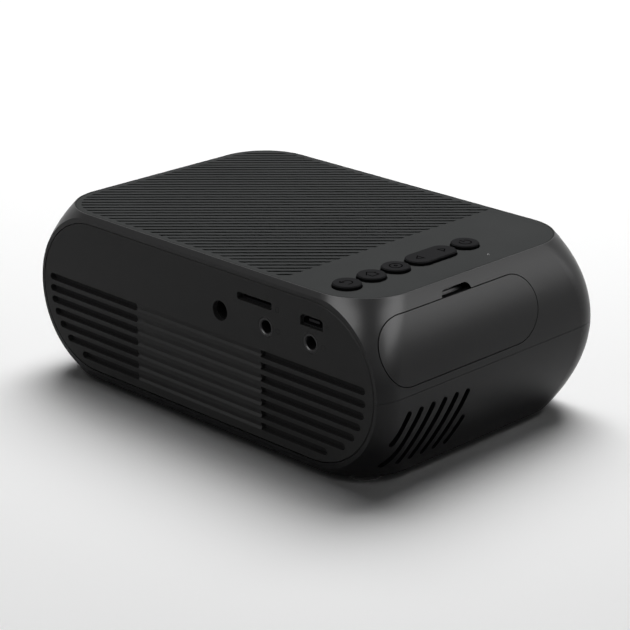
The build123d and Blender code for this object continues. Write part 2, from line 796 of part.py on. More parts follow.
rocker_low = panel_under - moving_gap
with BuildPart() as rocker_key:
    with BuildSketch(level(rocker_low)):
        with Locations((rocker_x, key_y)):
            SlotOverall(key_pitch + 2 * key_radius, 2 * key_radius)
    extrude(amount=key_top - rocker_low)
    chamfer(rocker_key.faces().sort_by(Axis.Z)[-1].edges(), key_edge)
    pivot_half = key_window_half + moving_gap + cradle_width / 2 - fit_gap
    slab(
        rocker_x - rocker_pivot_radius, rocker_x + rocker_pivot_radius,
        key_y - key_radius, key_y + key_radius, rocker_pivot_z, rocker_low,
    )
    rod(rocker_x, rocker_pivot_z, rocker_pivot_radius, key_y - pivot_half, key_y + pivot_half)
    for end in (1, -1):
        post(rocker_x + end * rocker_reach, key_y, stem_radius, stem_end, rocker_low)
save(rocker_key.part, "rocker_key")
save(switch_plunger(rocker_x + rocker_reach), "rocker_plunger_a")
save(switch_plunger(rocker_x - rocker_reach), "rocker_plunger_b")

switch_xs = round_key_xs + [rocker_x + rocker_reach, rocker_x - rocker_reach]
with BuildPart() as key_switches:
    with BuildSketch(level(key_board_top)):
        with Locations(*[(x, key_y) for x in switch_xs]):
            Rectangle(switch_size, switch_size)
    extrude(amount=switch_height)
    with BuildSketch(level(key_board_top + switch_floor)):
        with Locations(*[(x, key_y) for x in switch_xs]):
            Circle(plunger_radius + switch_clearance)
    extrude(amount=switch_height, mode=Mode.SUBTRACT)
save(key_switches.part, "key_switches")

key_board_rear_y = lip_y - socket_gap
key_board_front_y = key_boss_places[1][1] - board_screw_head
led_x = indicator_x - pipe_reach
with BuildPart() as key_board:
    low_x, high_x = led_x - led_tab_half, led_x + led_tab_half
    slab(low_x, key_window_high_x, key_board_front_y, key_board_rear_y, key_board_under, key_board_top)
    slab(low_x, high_x, key_board_rear_y, indicator_y + led_tab_end, key_board_under, key_board_top)
    for x, y in key_boss_places:
        post(x, y, board_screw_radius + screw_clearance, key_board_under, key_board_top, mode=Mode.SUBTRACT)
save(key_board.part, "key_board")

with BuildPart() as indicator_led:
    slab(
        led_x - led_chip_length / 2, led_x + led_chip_length / 2, indicator_y - led_chip_width / 2,
        indicator_y + led_chip_width / 2, key_board_top, key_board_top + led_chip_height,
    )
save(indicator_led.part, "indicator_led")

with BuildPart() as light_pipe:
    half = pipe_width / 2
    top = panel_under - fit_gap
    slab(led_x - half, indicator_x + half, indicator_y - half, indicator_y + half, top - pipe_height, top)
    low_z = key_board_top + led_chip_height + fit_gap
    slab(led_x - half, led_x + half, indicator_y - half, indicator_y + half, low_z, top)
    post(indicator_x, indicator_y, indicator_radius, top, body_top)
save(light_pipe.part, "light_pipe")

# ================================================================ boards and sockets
with BuildPart() as main_board:
    slab(
        main_board_inner_x, board_edge_x, main_board_front_y, main_board_rear_y,
        main_board_under, main_board_top,
    )
    for x, y in main_post_places:
        post(x, y, board_screw_radius + screw_clearance, main_board_under, main_board_top, mode=Mode.SUBTRACT)
save(main_board.part, "main_board")

side_board_under = side_board_top - board_thickness
with BuildPart() as side_board:
    slab(
        -board_edge_x, side_board_inner_x, side_board_front_y, side_board_rear_y,
        side_board_under, side_board_top,
    )
    for x, y in side_post_places:
        post(x, y, board_screw_radius + screw_clearance, side_board_under, side_board_top, mode=Mode.SUBTRACT)
save(side_board.part, "side_board")

with BuildPart() as board_screws:
    for x, y in main_post_places:
        post(x, y, board_screw_head, main_board_under - board_screw_head_height, main_board_under)
        post(x, y, board_screw_radius, main_board_under, main_board_under + board_screw_length)
    for x, y in key_boss_places:
        post(x, y, board_screw_head, key_board_under - board_screw_head_height, key_board_under)
        post(x, y, board_screw_radius, key_board_under, key_board_under + key_screw_length)
    for x, y in side_post_places:
        post(x, y, board_screw_head, side_board_top, side_board_top + board_screw_head_height)
        post(x, y, board_screw_radius, side_board_top - board_screw_length, side_board_top)
save(board_screws.part, "board_screws")

dc_back_x = socket_face_x - dc_depth
with BuildPart() as dc_jack:
    slab(
        dc_back_x, socket_face_x, dc_y - dc_width / 2, dc_y + dc_width / 2,
        main_board_under - jack_height, main_board_under,
    )
    spigot(dc_y, jack_z, dc_bore_radius, socket_face_x - dc_bore_depth, socket_face_x, mode=Mode.SUBTRACT)
    spigot(dc_y, jack_z, dc_pin_radius, dc_back_x, socket_face_x, mode=Mode.SUBTRACT)
save(dc_jack.part, "dc_jack")

with BuildPart() as dc_pin:
    spigot(dc_y, jack_z, dc_pin_radius, dc_back_x, socket_face_x - jack_back)
    fillet(dc_pin.edges().sort_by(Axis.X)[-1], dc_pin_radius / 2)
save(dc_pin.part, "dc_pin")

for name, y in (("av_jack", av_y), ("headphone_jack", phones_y)):
    back_x = socket_face_x - jack_depth
    with BuildPart() as jack:
        slab(
            back_x, socket_face_x, y - jack_width / 2, y + jack_width / 2,
            main_board_under - jack_height, main_board_under,
        )
        spigot(y, jack_z, jack_collar_radius, socket_face_x, side_outer_x)
        spigot(y, jack_z, jack_bore_radius, back_x + jack_back, side_outer_x, mode=Mode.SUBTRACT)
        mouth = jack.faces().sort_by(Axis.X)[-1].edges().sort_by(SortBy.RADIUS)[0]
        chamfer(mouth, jack_mouth)
    save(jack.part, name)

with BuildPart() as card_slot:
    half = card_body_width / 2
    slab(
        socket_face_x - card_body_depth, socket_face_x, card_y - half, card_y + half,
        main_board_top, main_board_top + card_body_height,
    )
    slab(
        socket_face_x - card_body_depth + card_body_wall, socket_face_x,
        card_y - card_mouth_width / 2, card_y + card_mouth_width / 2,
        card_z - card_mouth_height / 2, card_z + card_mouth_height / 2, mode=Mode.SUBTRACT,
    )
save(card_slot.part, "card_slot")


def socket_shell(front_x, depth, side, centre_y, board_z, outline, tongue_width):
    """A stamped socket on its board, open at front_x, with its back wall and contact tongue."""
    width, height, bevel, up = outline
    inner = (width - 2 * socket_wall, height - 2 * socket_wall, bevel, 0.0, up)
    centre_z = board_z + height / 2
    back_x = front_x - side * depth
    with BuildPart() as socket:
        with BuildSketch(beside(back_x)) as outside:
            with Locations((centre_y, centre_z)):
                bevelled(width, height, bevel, 0.0, up)
        extrude(outside.sketch, amount=side * depth)
        with BuildSketch(beside(back_x + side * jack_back)) as inside:
            with Locations((centre_y, centre_z)):
                bevelled(*inner)
        extrude(inside.sketch, amount=side * depth, mode=Mode.SUBTRACT)
        low_x, high_x = sorted((back_x + side * jack_back / 2, front_x - side * socket_wall))
        slab(
            low_x, high_x, centre_y - tongue_width / 2, centre_y + tongue_width / 2,
            centre_z - tongue_thickness / 2, centre_z + tongue_thickness / 2,
        )
    return socket.part


socket_front_x = (side_inner_x + side_outer_x) / 2
micro_outline = (micro_width, micro_height, micro_bevel, 1)
hdmi_outline = (hdmi_width, hdmi_height, hdmi_bevel, -1)
usb_outline = (usb_width, usb_height, socket_wall, -1)
micro_usb = socket_shell(socket_front_x, micro_depth, 1, micro_y, main_board_top, micro_outline, micro_tongue)
hdmi = socket_shell(-socket_front_x, hdmi_depth, -1, hdmi_y, side_board_top, hdmi_outline, hdmi_tongue)
usb = socket_shell(-socket_front_x, usb_depth, -1, usb_y, side_board_top, usb_outline, usb_tongue)
save(micro_usb, "micro_usb_socket")
save(hdmi, "hdmi_socket")
save(usb, "usb_socket")

# ================================================================ lens, focus ring and guide tube
ring_rear_y = ring_front_y + ring_length
ring_flange_y = ring_rear_y - ring_flange_length
with BuildPart() as focus_groove:
    run = 2 * (focus_turn + focus_groove_run)
    rise = focus_lead * run / 360
    with BuildLine() as path:
        Helix(
            pitch=focus_lead, height=rise, radius=ring_inner_radius,
            center=(axis_x, follower_y - rise / 2, axis_z), direction=(0, 1, 0),
        )
    with BuildSketch(Plane(path.line @ 0, x_dir=(0, 1, 0), z_dir=path.line % 0)):
        Rectangle(2 * (follower_radius + groove_clearance), 2 * focus_groove_depth)
    sweep(path=path.line, is_frenet=True)

with BuildPart() as focus_ring:
    turned(
        (ring_inner_radius, ring_front_y), (ring_outer_radius, ring_front_y),
        (ring_outer_radius, ring_flange_y), (ring_outer_radius + ring_flange, ring_flange_y),
        (ring_outer_radius + ring_flange, ring_rear_y), (ring_inner_radius, ring_rear_y),
    )
    chamfer(focus_ring.faces().sort_by(Axis.Y)[0].edges(), panel_edge)
    for side in (0, 180):
        turn = 90 - run / 2 + side
        add(focus_groove.part.rotate(optical_axis, turn), mode=Mode.SUBTRACT)
    with BuildSketch(across(ring_front_y + grip_length)):
        with Locations((axis_x, axis_z)):
            with PolarLocations(ring_outer_radius + grip_radius / 2, grip_count):
                Circle(grip_radius)
    extrude(amount=grip_length, mode=Mode.SUBTRACT)
save(focus_ring.part, "focus_ring")

with BuildPart() as guide_tube:
    collar_y = ring_rear_y + moving_gap
    flange_y = engine_front_y - tube_flange_length
    turned(
        (tube_inner_radius, tube_front_y), (tube_outer_radius, tube_front_y),
        (tube_outer_radius, collar_y), (tube_flange_radius, collar_y),
        (tube_flange_radius, collar_y + tube_flange_length), (tube_outer_radius, collar_y + tube_flange_length),
        (tube_outer_radius, flange_y), (tube_flange_radius, flange_y),
        (tube_flange_radius, engine_front_y), (tube_inner_radius, engine_front_y),
    )
    reach = follower_radius + focus_travel + groove_clearance
    slab(
        axis_x - tube_flange_radius, axis_x + tube_flange_radius, follower_y - reach, follower_y + reach,
        axis_z - slide_slot_width / 2, axis_z + slide_slot_width / 2, mode=Mode.SUBTRACT,
    )
save(guide_tube.part, "guide_tube")

front_lens_rear_y = front_lens_y + front_lens_length
with BuildPart() as lens_barrel:
    seat_radius = lens_radius + running_gap
    turned(
        (seat_radius, barrel_front_y), (barrel_radius, barrel_front_y),
        (barrel_radius, barrel_rear_y), (seat_radius, barrel_rear_y),
        (seat_radius, rear_lens_front_y), (barrel_waist_radius, rear_lens_front_y),
        (barrel_waist_radius, front_lens_rear_y), (seat_radius, front_lens_rear_y),
    )
    for side in (1, -1):
        near, far = sorted((axis_x + side * pin_root, axis_x + side * tube_flange_radius))
        spigot(follower_y, axis_z, follower_radius, near, far, mode=Mode.SUBTRACT)
save(lens_barrel.part, "lens_barrel")

with BuildPart() as follower_pins:
    for side in (1, -1):
        near, far = sorted((axis_x + side * pin_root, axis_x + side * follower_tip))
        spigot(follower_y, axis_z, follower_radius, near, far)
save(follower_pins.part, "follower_pins")

with BuildPart() as lens_retainer:
    retainer_rear_y = barrel_front_y + retainer_length
    turned(
        (retainer_radius, barrel_front_y), (seat_radius, barrel_front_y),
        (seat_radius, retainer_rear_y), (retainer_radius, retainer_rear_y),
    )
save(lens_retainer.part, "lens_retainer")
save(lens(lens_radius, front_lens_y, front_lens_rear_y, front_lens_sag), "front_lens")
rear_lens_rear_y = rear_lens_front_y + rear_lens_length
save(lens(lens_radius, rear_lens_front_y, rear_lens_rear_y, rear_lens_sag, rear_lens_sag), "rear_lens")

with BuildPart() as lens_bezel:
    bezel_inner_radius = ring_outer_radius + moving_gap
    flange_rear_y = bezel_flange_y + bezel_flange_length
    turned(
        (bezel_inner_radius, bezel_front_y), (bezel_radius, bezel_front_y),
        (bezel_radius, bezel_flange_y), (bezel_flange_radius, bezel_flange_y),
        (bezel_flange_radius, flange_rear_y), (bezel_radius, flange_rear_y),
        (bezel_radius, bezel_rear_y), (bezel_inner_radius, bezel_rear_y),
    )
    chamfer(lens_bezel.faces().sort_by(Axis.Y)[0].edges(), key_edge)
save(lens_bezel.part, "lens_bezel")

# ================================================================ engine: lamp, condenser and picture panel
inner_low_x = engine_low_x + engine_wall
inner_high_x = engine_high_x - engine_wall
plate_low_z = engine_floor_z + engine_wall - plate_groove
plate_places = [
    (fresnel_rear_y, "rear_fresnel_lens"), (panel_y, "picture_panel"), (fresnel_front_y, "front_fresnel_lens"),
]
with BuildPart() as engine_case:
    slab(engine_low_x, engine_high_x, engine_front_y, engine_rear_y, engine_floor_z, engine_top)
    slab(
        inner_low_x, inner_high_x, engine_front_y + engine_wall, engine_rear_y,
        engine_floor_z + engine_wall, engine_top, mode=Mode.SUBTRACT,
    )
    rod(axis_x, axis_z, barrel_radius, engine_front_y, engine_front_y + engine_wall, mode=Mode.SUBTRACT)
    for rear_y, thickness in [(y, plate_thickness) for y, _ in plate_places] + [(condenser_y, holder_thickness)]:
        slab(
            inner_low_x - plate_groove, inner_high_x + plate_groove,
            rear_y - thickness - fit_gap, rear_y + fit_gap, plate_low_z, engine_top, mode=Mode.SUBTRACT,
        )
save(engine_case.part, "engine_case")

with BuildPart() as engine_lid:
    slab(engine_low_x, engine_high_x, engine_front_y, engine_rear_y, engine_top, engine_top + lid_thickness)
save(engine_lid.part, "engine_lid")

plate_high_x = inner_high_x + plate_groove - fit_gap
plate_low_x = inner_low_x - plate_groove + fit_gap
for rear_y, name in plate_places:
    with BuildPart() as plate:
        slab(plate_low_x, plate_high_x, rear_y - plate_thickness, rear_y, plate_low_z, engine_top - fit_gap)
    save(plate.part, name)

with BuildPart() as condenser_holder:
    holder_front_y = condenser_y - holder_thickness
    slab(plate_low_x, plate_high_x, holder_front_y, condenser_y, plate_low_z, engine_top - fit_gap)
    rod(axis_x, axis_z, condenser_radius - condenser_seat, condenser_y - holder_thickness, condenser_y,
        mode=Mode.SUBTRACT)
    rod(axis_x, axis_z, condenser_radius + running_gap, condenser_y - holder_thickness,
        condenser_y - condenser_seat, mode=Mode.SUBTRACT)
save(condenser_holder.part, "condenser_holder")
condenser_rear_y = condenser_y - condenser_seat
condenser_front_y = condenser_rear_y - condenser_length
save(lens(condenser_radius, condenser_front_y, condenser_rear_y, condenser_sag), "condenser_lens")

led_front_y = engine_rear_y - led_thickness
with BuildPart() as led_module:
    half = led_size / 2
    slab(axis_x - half, axis_x + half, led_front_y, engine_rear_y, axis_z - half, axis_z + half)
    add(lens(led_dome_radius, led_front_y - led_dome_height, led_front_y, led_dome_sag))
save(led_module.part, "led_module")

with BuildPart() as heat_sink:
    base_y = engine_rear_y + sink_base
    slab(engine_low_x, engine_high_x, engine_rear_y, base_y, engine_floor_z, engine_top)
    fin_pitch = (fan_size - fin_thickness) / (fin_count - 1)
    for index in range(fin_count):
        low_x = axis_x - fan_size / 2 + index * fin_pitch
        slab(low_x, low_x + fin_thickness, base_y, fan_front_y, engine_floor_z, floor_z + fan_size)
save(heat_sink.part, "heat_sink")

# ================================================================ fan
with BuildPart() as fan_frame:
    half = fan_size / 2
    slab(axis_x - half, axis_x + half, fan_front_y, fan_rear_y, floor_z, floor_z + fan_size)
    rod(axis_x, fan_z, fan_bore_radius, fan_front_y, fan_rear_y, mode=Mode.SUBTRACT)
    with BuildSketch(across(fan_rear_y)):
        with Locations((axis_x, fan_z)):
            Circle(fan_hub_radius)
            for index in range(strut_count):
                turn = 45 + index * 180 / strut_count
                Rectangle(2 * (fan_bore_radius + strut_root), strut_width, rotation=turn)
    extrude(amount=strut_thickness)
    rod(axis_x, fan_z, bearing_radius, fan_front_y + 2 * hub_front_gap + fan_hub_wall, fan_rear_y)
    rod(axis_x, fan_z, shaft_radius + running_gap, fan_front_y, fan_rear_y, mode=Mode.SUBTRACT)
    with BuildSketch(across(fan_rear_y)):
        with Locations((axis_x, fan_z)):
            with GridLocations(fan_screw_spacing, fan_screw_spacing, 2, 2):
                Circle(fan_screw_radius)
    extrude(amount=fan_depth, mode=Mode.SUBTRACT)
save(fan_frame.part, "fan_frame")

with BuildPart() as fan_rotor:
    hub_front_y = fan_front_y + hub_front_gap
    hub_rear_y = fan_rear_y - strut_thickness - hub_rear_gap
    blade_y = (hub_front_y + hub_rear_y) / 2
    for index in range(blade_count):
        with Locations(Location((axis_x, blade_y, fan_z), (0, index * 360 / blade_count, 0))):
            with Locations(Location((0, 0, (blade_tip_radius + blade_spare) / 2), (0, 0, blade_angle))):
                Box(blade_chord, blade_thickness, blade_tip_radius + blade_spare)
    rod(axis_x, fan_z, blade_tip_radius, hub_front_y, hub_rear_y, mode=Mode.INTERSECT)
    rod(axis_x, fan_z, fan_hub_radius, hub_front_y, hub_rear_y)
    rod(axis_x, fan_z, fan_hub_radius - fan_hub_wall, hub_front_y + fan_hub_wall, hub_rear_y, mode=Mode.SUBTRACT)
    rod(axis_x, fan_z, shaft_radius, hub_front_y, fan_rear_y - hub_rear_gap)
save(fan_rotor.part, "fan_rotor")

# ================================================================ loudspeaker
with BuildPart() as speaker_frame:
    with BuildSketch(across(speaker_front_y)):
        with Locations((speaker_x, speaker_z)):
            RectangleRounded(speaker_width, speaker_height, speaker_corner)
            RectangleRounded(
                speaker_width - 2 * cone_margin, speaker_height - 2 * cone_margin,
                speaker_corner - cone_margin, mode=Mode.SUBTRACT,
            )
    extrude(amount=speaker_depth)
    with BuildSketch(across(speaker_rear_y + cone_thickness)):
        with Locations((speaker_x, speaker_z)):
            RectangleRounded(
                speaker_width - cone_margin, speaker_height - cone_margin, speaker_corner - cone_margin,
            )
    extrude(amount=cone_thickness)
    rod(speaker_x, speaker_z, magnet_radius, speaker_rear_y - magnet_depth, speaker_rear_y)
save(speaker_frame.part, "speaker_frame")

with BuildPart() as speaker_cone:
    cone_rear_y = speaker_rear_y + cone_thickness
    with BuildSketch(across(speaker_front_y - cone_thickness)):
        with Locations((speaker_x, speaker_z)):
            RectangleRounded(
                speaker_width - 2 * cone_margin, speaker_height - 2 * cone_margin, speaker_corner - cone_margin,
            )
    extrude(amount=cone_thickness)
    rod(speaker_x, speaker_z, magnet_radius / 2, cone_rear_y, speaker_front_y - cone_thickness)
save(speaker_cone.part, "speaker_cone")

# ================================================================ feet, case screws and tripod nut
with BuildPart() as feet:
    for x, y in foot_places:
        post(x, y, foot_radius, 0, foot_height)
    chamfer(feet.faces().sort_by(Axis.Z)[0:len(foot_places)].edges(), foot_edge)
    for x, y in foot_places:
        post(x, y, foot_plug_radius, foot_height, foot_height + foot_plug_length)
save(feet.part, "feet")

with BuildPart() as case_screws:
    for x, y in foot_places:
        post(x, y, case_screw_head_radius, case_screw_seat_z - case_screw_head_height, case_screw_seat_z)
        post(x, y, case_screw_radius, case_screw_seat_z, case_screw_seat_z + case_screw_length)
save(case_screws.part, "case_screws")

with BuildPart() as tripod_nut:
    post(0, 0, tripod_nut_radius, foot_height, foot_height + tripod_length)
    post(0, 0, tripod_radius, foot_height, foot_height + tripod_length, mode=Mode.SUBTRACT)
save(tripod_nut.part, "tripod_nut")
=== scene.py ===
"""Looks of a small battery LED projector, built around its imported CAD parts.

The row frame is the CAD's: +X is the side with the sockets, +Y the rear with the battery door, +Z up, and the
lens looks along -Y. Sizes in the classes are in millimetres and are turned to metres where a mesh is made.
"""

from __future__ import annotations

import logging
import math
from dataclasses import dataclass, field
from enum import Enum
from typing import Any, Mapping, Sequence

import bmesh
import bpy
from mathutils import Matrix, Vector

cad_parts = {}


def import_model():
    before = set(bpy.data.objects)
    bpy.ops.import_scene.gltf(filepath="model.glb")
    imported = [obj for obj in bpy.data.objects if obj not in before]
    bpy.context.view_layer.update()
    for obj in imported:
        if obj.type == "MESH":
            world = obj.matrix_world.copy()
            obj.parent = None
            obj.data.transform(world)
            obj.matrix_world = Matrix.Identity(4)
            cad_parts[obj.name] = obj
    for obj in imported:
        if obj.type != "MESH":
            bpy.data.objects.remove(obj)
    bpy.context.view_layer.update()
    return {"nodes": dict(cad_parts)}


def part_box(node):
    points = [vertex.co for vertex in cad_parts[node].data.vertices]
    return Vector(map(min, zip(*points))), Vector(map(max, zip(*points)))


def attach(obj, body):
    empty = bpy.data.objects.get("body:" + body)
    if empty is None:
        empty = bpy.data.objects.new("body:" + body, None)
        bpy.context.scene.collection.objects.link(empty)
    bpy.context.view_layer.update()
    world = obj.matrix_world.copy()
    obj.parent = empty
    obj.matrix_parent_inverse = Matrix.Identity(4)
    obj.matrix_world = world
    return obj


LOG = logging.getLogger("projector")
MM = 0.001
# the lens's axis, in millimetres across the body and up
AXIS_X, AXIS_Z = -5.0, 26.65
# watts for each square metre of a lamp's face at brightness 1
FACE_POWER = 4.0
# how far the wave texture runs in one ring, at scale 1
WAVE_RUN = math.tau / 20
# a mitred corner reaches at most half a width divided by this
MITRE_LIMIT = 0.4
Point2 = tuple[float, float]


# ---------------------------------------------------------------- colour and node helpers
def linear(hex_colour: str, alpha: float = 1.0) -> tuple[float, float, float, float]:
    """Turns an sRGB hex colour into linear values.

    Args:
        hex_colour: Six hex digits, with or without a leading #.
        alpha: The opacity to add.

    Returns:
        Linear red, green, blue and alpha.
    """
    digits = hex_colour.lstrip("#")
    channels = [int(digits[i : i + 2], 16) / 255 for i in (0, 2, 4)]
    turned = [c / 12.92 if c <= 0.04045 else ((c + 0.055) / 1.055) ** 2.4 for c in channels]
    return turned[0], turned[1], turned[2], alpha


def add_node(
    tree: bpy.types.NodeTree,
    kind: str,
    inputs: Mapping[str | int, Any] | None = None,
    **settings: Any,
) -> bpy.types.Node:
    """Adds a node, sets its properties, and sets or links its inputs.

    Args:
        tree: The node tree that takes the node.
        kind: Blender's identifier of the node type.
        inputs: Input names or indices, each with a value or with the output socket to link.
        **settings: Node properties such as operation or mode.

    Returns:
        The new node.
    """
    node = tree.nodes.new(kind)
    for key, value in settings.items():
        setattr(node, key, value)
    for key, value in (inputs or {}).items():
        if isinstance(value, bpy.types.NodeSocket):
            tree.links.new(value, node.inputs[key])
        else:
            node.inputs[key].default_value = value
    return node


def first_node(tree: bpy.types.NodeTree, kind: str) -> bpy.types.Node:
    """Finds the one node of a kind that a new tree comes with.

    Args:
        tree: The node tree.
        kind: The node's short type, such as BACKGROUND.

    Returns:
        The node.
    """
    return next(n for n in tree.nodes if n.type == kind)


def direction(azimuth: float, elevation: float) -> Vector:
    """Turns a view's two angles into a unit vector from the object.

    Args:
        azimuth: Degrees round the object from its front, towards +X.
        elevation: Degrees above the floor.

    Returns:
        The unit vector.
    """
    az, el = math.radians(azimuth), math.radians(elevation)
    return Vector((math.sin(az) * math.cos(el), -math.cos(az) * math.cos(el), math.sin(el)))


# ---------------------------------------------------------------- finishes
@dataclass(frozen=True)
class Finish:
    """A surface: its substance, how it was made, and what that gives the eye."""

    name: str
    colour: str
    roughness: float
    metallic: float = 0.0
    ior: float = 1.5
    specular: float = 0.5
    coat: float = 0.0
    coat_roughness: float = 0.1

    def material(self) -> bpy.types.Material:
        """Builds the material.

        Returns:
            A node material with the shader's plain values set and its patterns wired.
        """
        material = bpy.data.materials.new(self.name)
        material.use_nodes = True
        tree = material.node_tree
        shader = first_node(tree, "BSDF_PRINCIPLED")
        values = {
            "Base Color": linear(self.colour),
            "Roughness": self.roughness,
            "Metallic": self.metallic,
            "IOR": self.ior,
            "Specular IOR Level": self.specular,
            "Coat Weight": self.coat,
            "Coat Roughness": self.coat_roughness,
        }
        for key, value in values.items():
            shader.inputs[key].default_value = value
        place = add_node(tree, "ShaderNodeTexCoord")
        self.pattern(tree, shader, place.outputs["Object"])
        material.diffuse_color = linear(self.colour)
        return material

    def pattern(self, tree: bpy.types.NodeTree, shader: bpy.types.Node, place: bpy.types.NodeSocket) -> None:
        """Wires no pattern: a bare finish."""


@dataclass(frozen=True)
class Moulded(Finish):
    """Injection-moulded plastic: the tool's grain as bump, with faint drift in tone and gloss."""

    grain_mm: float = 0.6
    grain_depth_mm: float = 0.01
    drift_mm: float = 22.0
    drift: float = 0.12
    gloss_drift: float = 0.06

    def pattern(self, tree: bpy.types.NodeTree, shader: bpy.types.Node, place: bpy.types.NodeSocket) -> None:
        """Wires grain, tone and gloss.

        Args:
            tree: The material's node tree.
            shader: The Principled shader.
            place: Object coordinates.
        """
        base = linear(self.colour)
        broad = add_node(
            tree, "ShaderNodeTexNoise", {"Vector": place, "Scale": 1 / (self.drift_mm * MM), "Detail": 3.0}
        )
        low, high = [tuple(c * (1 + side * self.drift) for c in base[:3]) + (1.0,) for side in (-1, 1)]
        # the colour mix has its sockets at fixed places behind the number ones
        tone = add_node(
            tree, "ShaderNodeMix", {"Factor": broad.outputs["Fac"], 6: low, 7: high}, data_type="RGBA"
        )
        tree.links.new(tone.outputs[2], shader.inputs["Base Color"])
        gloss = add_node(
            tree,
            "ShaderNodeMapRange",
            {
                "Value": broad.outputs["Fac"],
                "To Min": max(0.02, self.roughness - self.gloss_drift),
                "To Max": self.roughness + self.gloss_drift,
            },
        )
        tree.links.new(gloss.outputs["Result"], shader.inputs["Roughness"])
        grain = add_node(
            tree, "ShaderNodeTexNoise", {"Vector": place, "Scale": 1 / (self.grain_mm * MM), "Detail": 2.0}
        )
        bump = add_node(
            tree,
            "ShaderNodeBump",
            {"Height": grain.outputs["Fac"], "Distance": self.grain_depth_mm * MM, "Strength": 1.0},
        )
        tree.links.new(bump.outputs["Normal"], shader.inputs["Normal"])


@dataclass(frozen=True)
class Drawn(Finish):
    """Stamped, extruded or turned metal: fine lines along one axis."""

    line_mm: float = 0.25
    along: tuple[float, float, float] = (0.03, 1.0, 1.0)
    line_depth_mm: float = 0.004
    gloss_drift: float = 0.12

    def pattern(self, tree: bpy.types.NodeTree, shader: bpy.types.Node, place: bpy.types.NodeSocket) -> None:
        """Wires the lines into roughness and bump.

        Args:
            tree: The material's node tree.
            shader: The Principled shader.
            place: Object coordinates.
        """
        stretched = add_node(tree, "ShaderNodeMapping", {"Vector": place, "Scale": self.along})
        lines = add_node(
            tree,
            "ShaderNodeTexNoise",
            {"Vector": stretched.outputs["Vector"], "Scale": 1 / (self.line_mm * MM), "Detail": 3.0},
        )
        gloss = add_node(
            tree,
            "ShaderNodeMapRange",
            {
                "Value": lines.outputs["Fac"],
                "To Min": max(0.05, self.roughness - self.gloss_drift),
                "To Max": self.roughness + self.gloss_drift,
            },
        )
        tree.links.new(gloss.outputs["Result"], shader.inputs["Roughness"])
        bump = add_node(
            tree,
            "ShaderNodeBump",
            {"Height": lines.outputs["Fac"], "Distance": self.line_depth_mm * MM, "Strength": 1.0},
        )
        tree.links.new(bump.outputs["Normal"], shader.inputs["Normal"])


@dataclass(frozen=True)
class Glass(Finish):
    """Polished optical glass or clear acrylic: it passes light and has a coated skin."""

    transmission: float = 1.0
    film_nm: float = 0.0
    ring_mm: float = 0.0
    ring_depth_mm: float = 0.05
    ring_strength: float = 0.6

    def pattern(self, tree: bpy.types.NodeTree, shader: bpy.types.Node, place: bpy.types.NodeSocket) -> None:
        """Sets transmission and the coating, and wires the rings of a stepped lens.

        Args:
            tree: The material's node tree.
            shader: The Principled shader.
            place: Object coordinates.
        """
        shader.inputs["Transmission Weight"].default_value = self.transmission
        shader.inputs["Thin Film Thickness"].default_value = self.film_nm
        if not self.ring_mm:
            return
        centred = add_node(
            tree,
            "ShaderNodeMapping",
            {"Vector": place, "Location": (-AXIS_X * MM, 0.0, -AXIS_Z * MM), "Scale": (1.0, 0.0, 1.0)},
        )
        rings = add_node(
            tree,
            "ShaderNodeTexWave",
            {"Vector": centred.outputs["Vector"], "Scale": WAVE_RUN / (self.ring_mm * MM)},
            wave_type="RINGS",
            rings_direction="SPHERICAL",
            wave_profile="SAW",
        )
        bump = add_node(
            tree,
            "ShaderNodeBump",
            {
                "Height": rings.outputs["Fac"],
                "Distance": self.ring_depth_mm * MM,
                "Strength": self.ring_strength,
            },
        )
        tree.links.new(bump.outputs["Normal"], shader.inputs["Normal"])


@dataclass(frozen=True)
class Laminate(Finish):
    """Circuit board: solder mask over glass cloth, with lighter tracks under the lacquer."""

    track_mm: float = 1.3
    track_colour: str = "1f6b3f"
    track_edge: float = 0.62
    track_depth_mm: float = 0.03

    def pattern(self, tree: bpy.types.NodeTree, shader: bpy.types.Node, place: bpy.types.NodeSocket) -> None:
        """Wires the tracks into colour and bump.

        Args:
            tree: The material's node tree.
            shader: The Principled shader.
            place: Object coordinates.
        """
        cells = add_node(
            tree,
            "ShaderNodeTexVoronoi",
            {"Vector": place, "Scale": 1 / (self.track_mm * MM)},
            distance="CHEBYCHEV",
            feature="F2",
        )
        edge = add_node(
            tree,
            "ShaderNodeMath",
            {0: cells.outputs["Distance"], 1: self.track_edge},
            operation="GREATER_THAN",
        )
        tone = add_node(
            tree,
            "ShaderNodeMix",
            {"Factor": edge.outputs[0], 6: linear(self.colour), 7: linear(self.track_colour)},
            data_type="RGBA",
        )
        tree.links.new(tone.outputs[2], shader.inputs["Base Color"])
        bump = add_node(
            tree,
            "ShaderNodeBump",
            {"Height": edge.outputs[0], "Distance": self.track_depth_mm * MM, "Strength": 1.0},
        )
        tree.links.new(bump.outputs["Normal"], shader.inputs["Normal"])


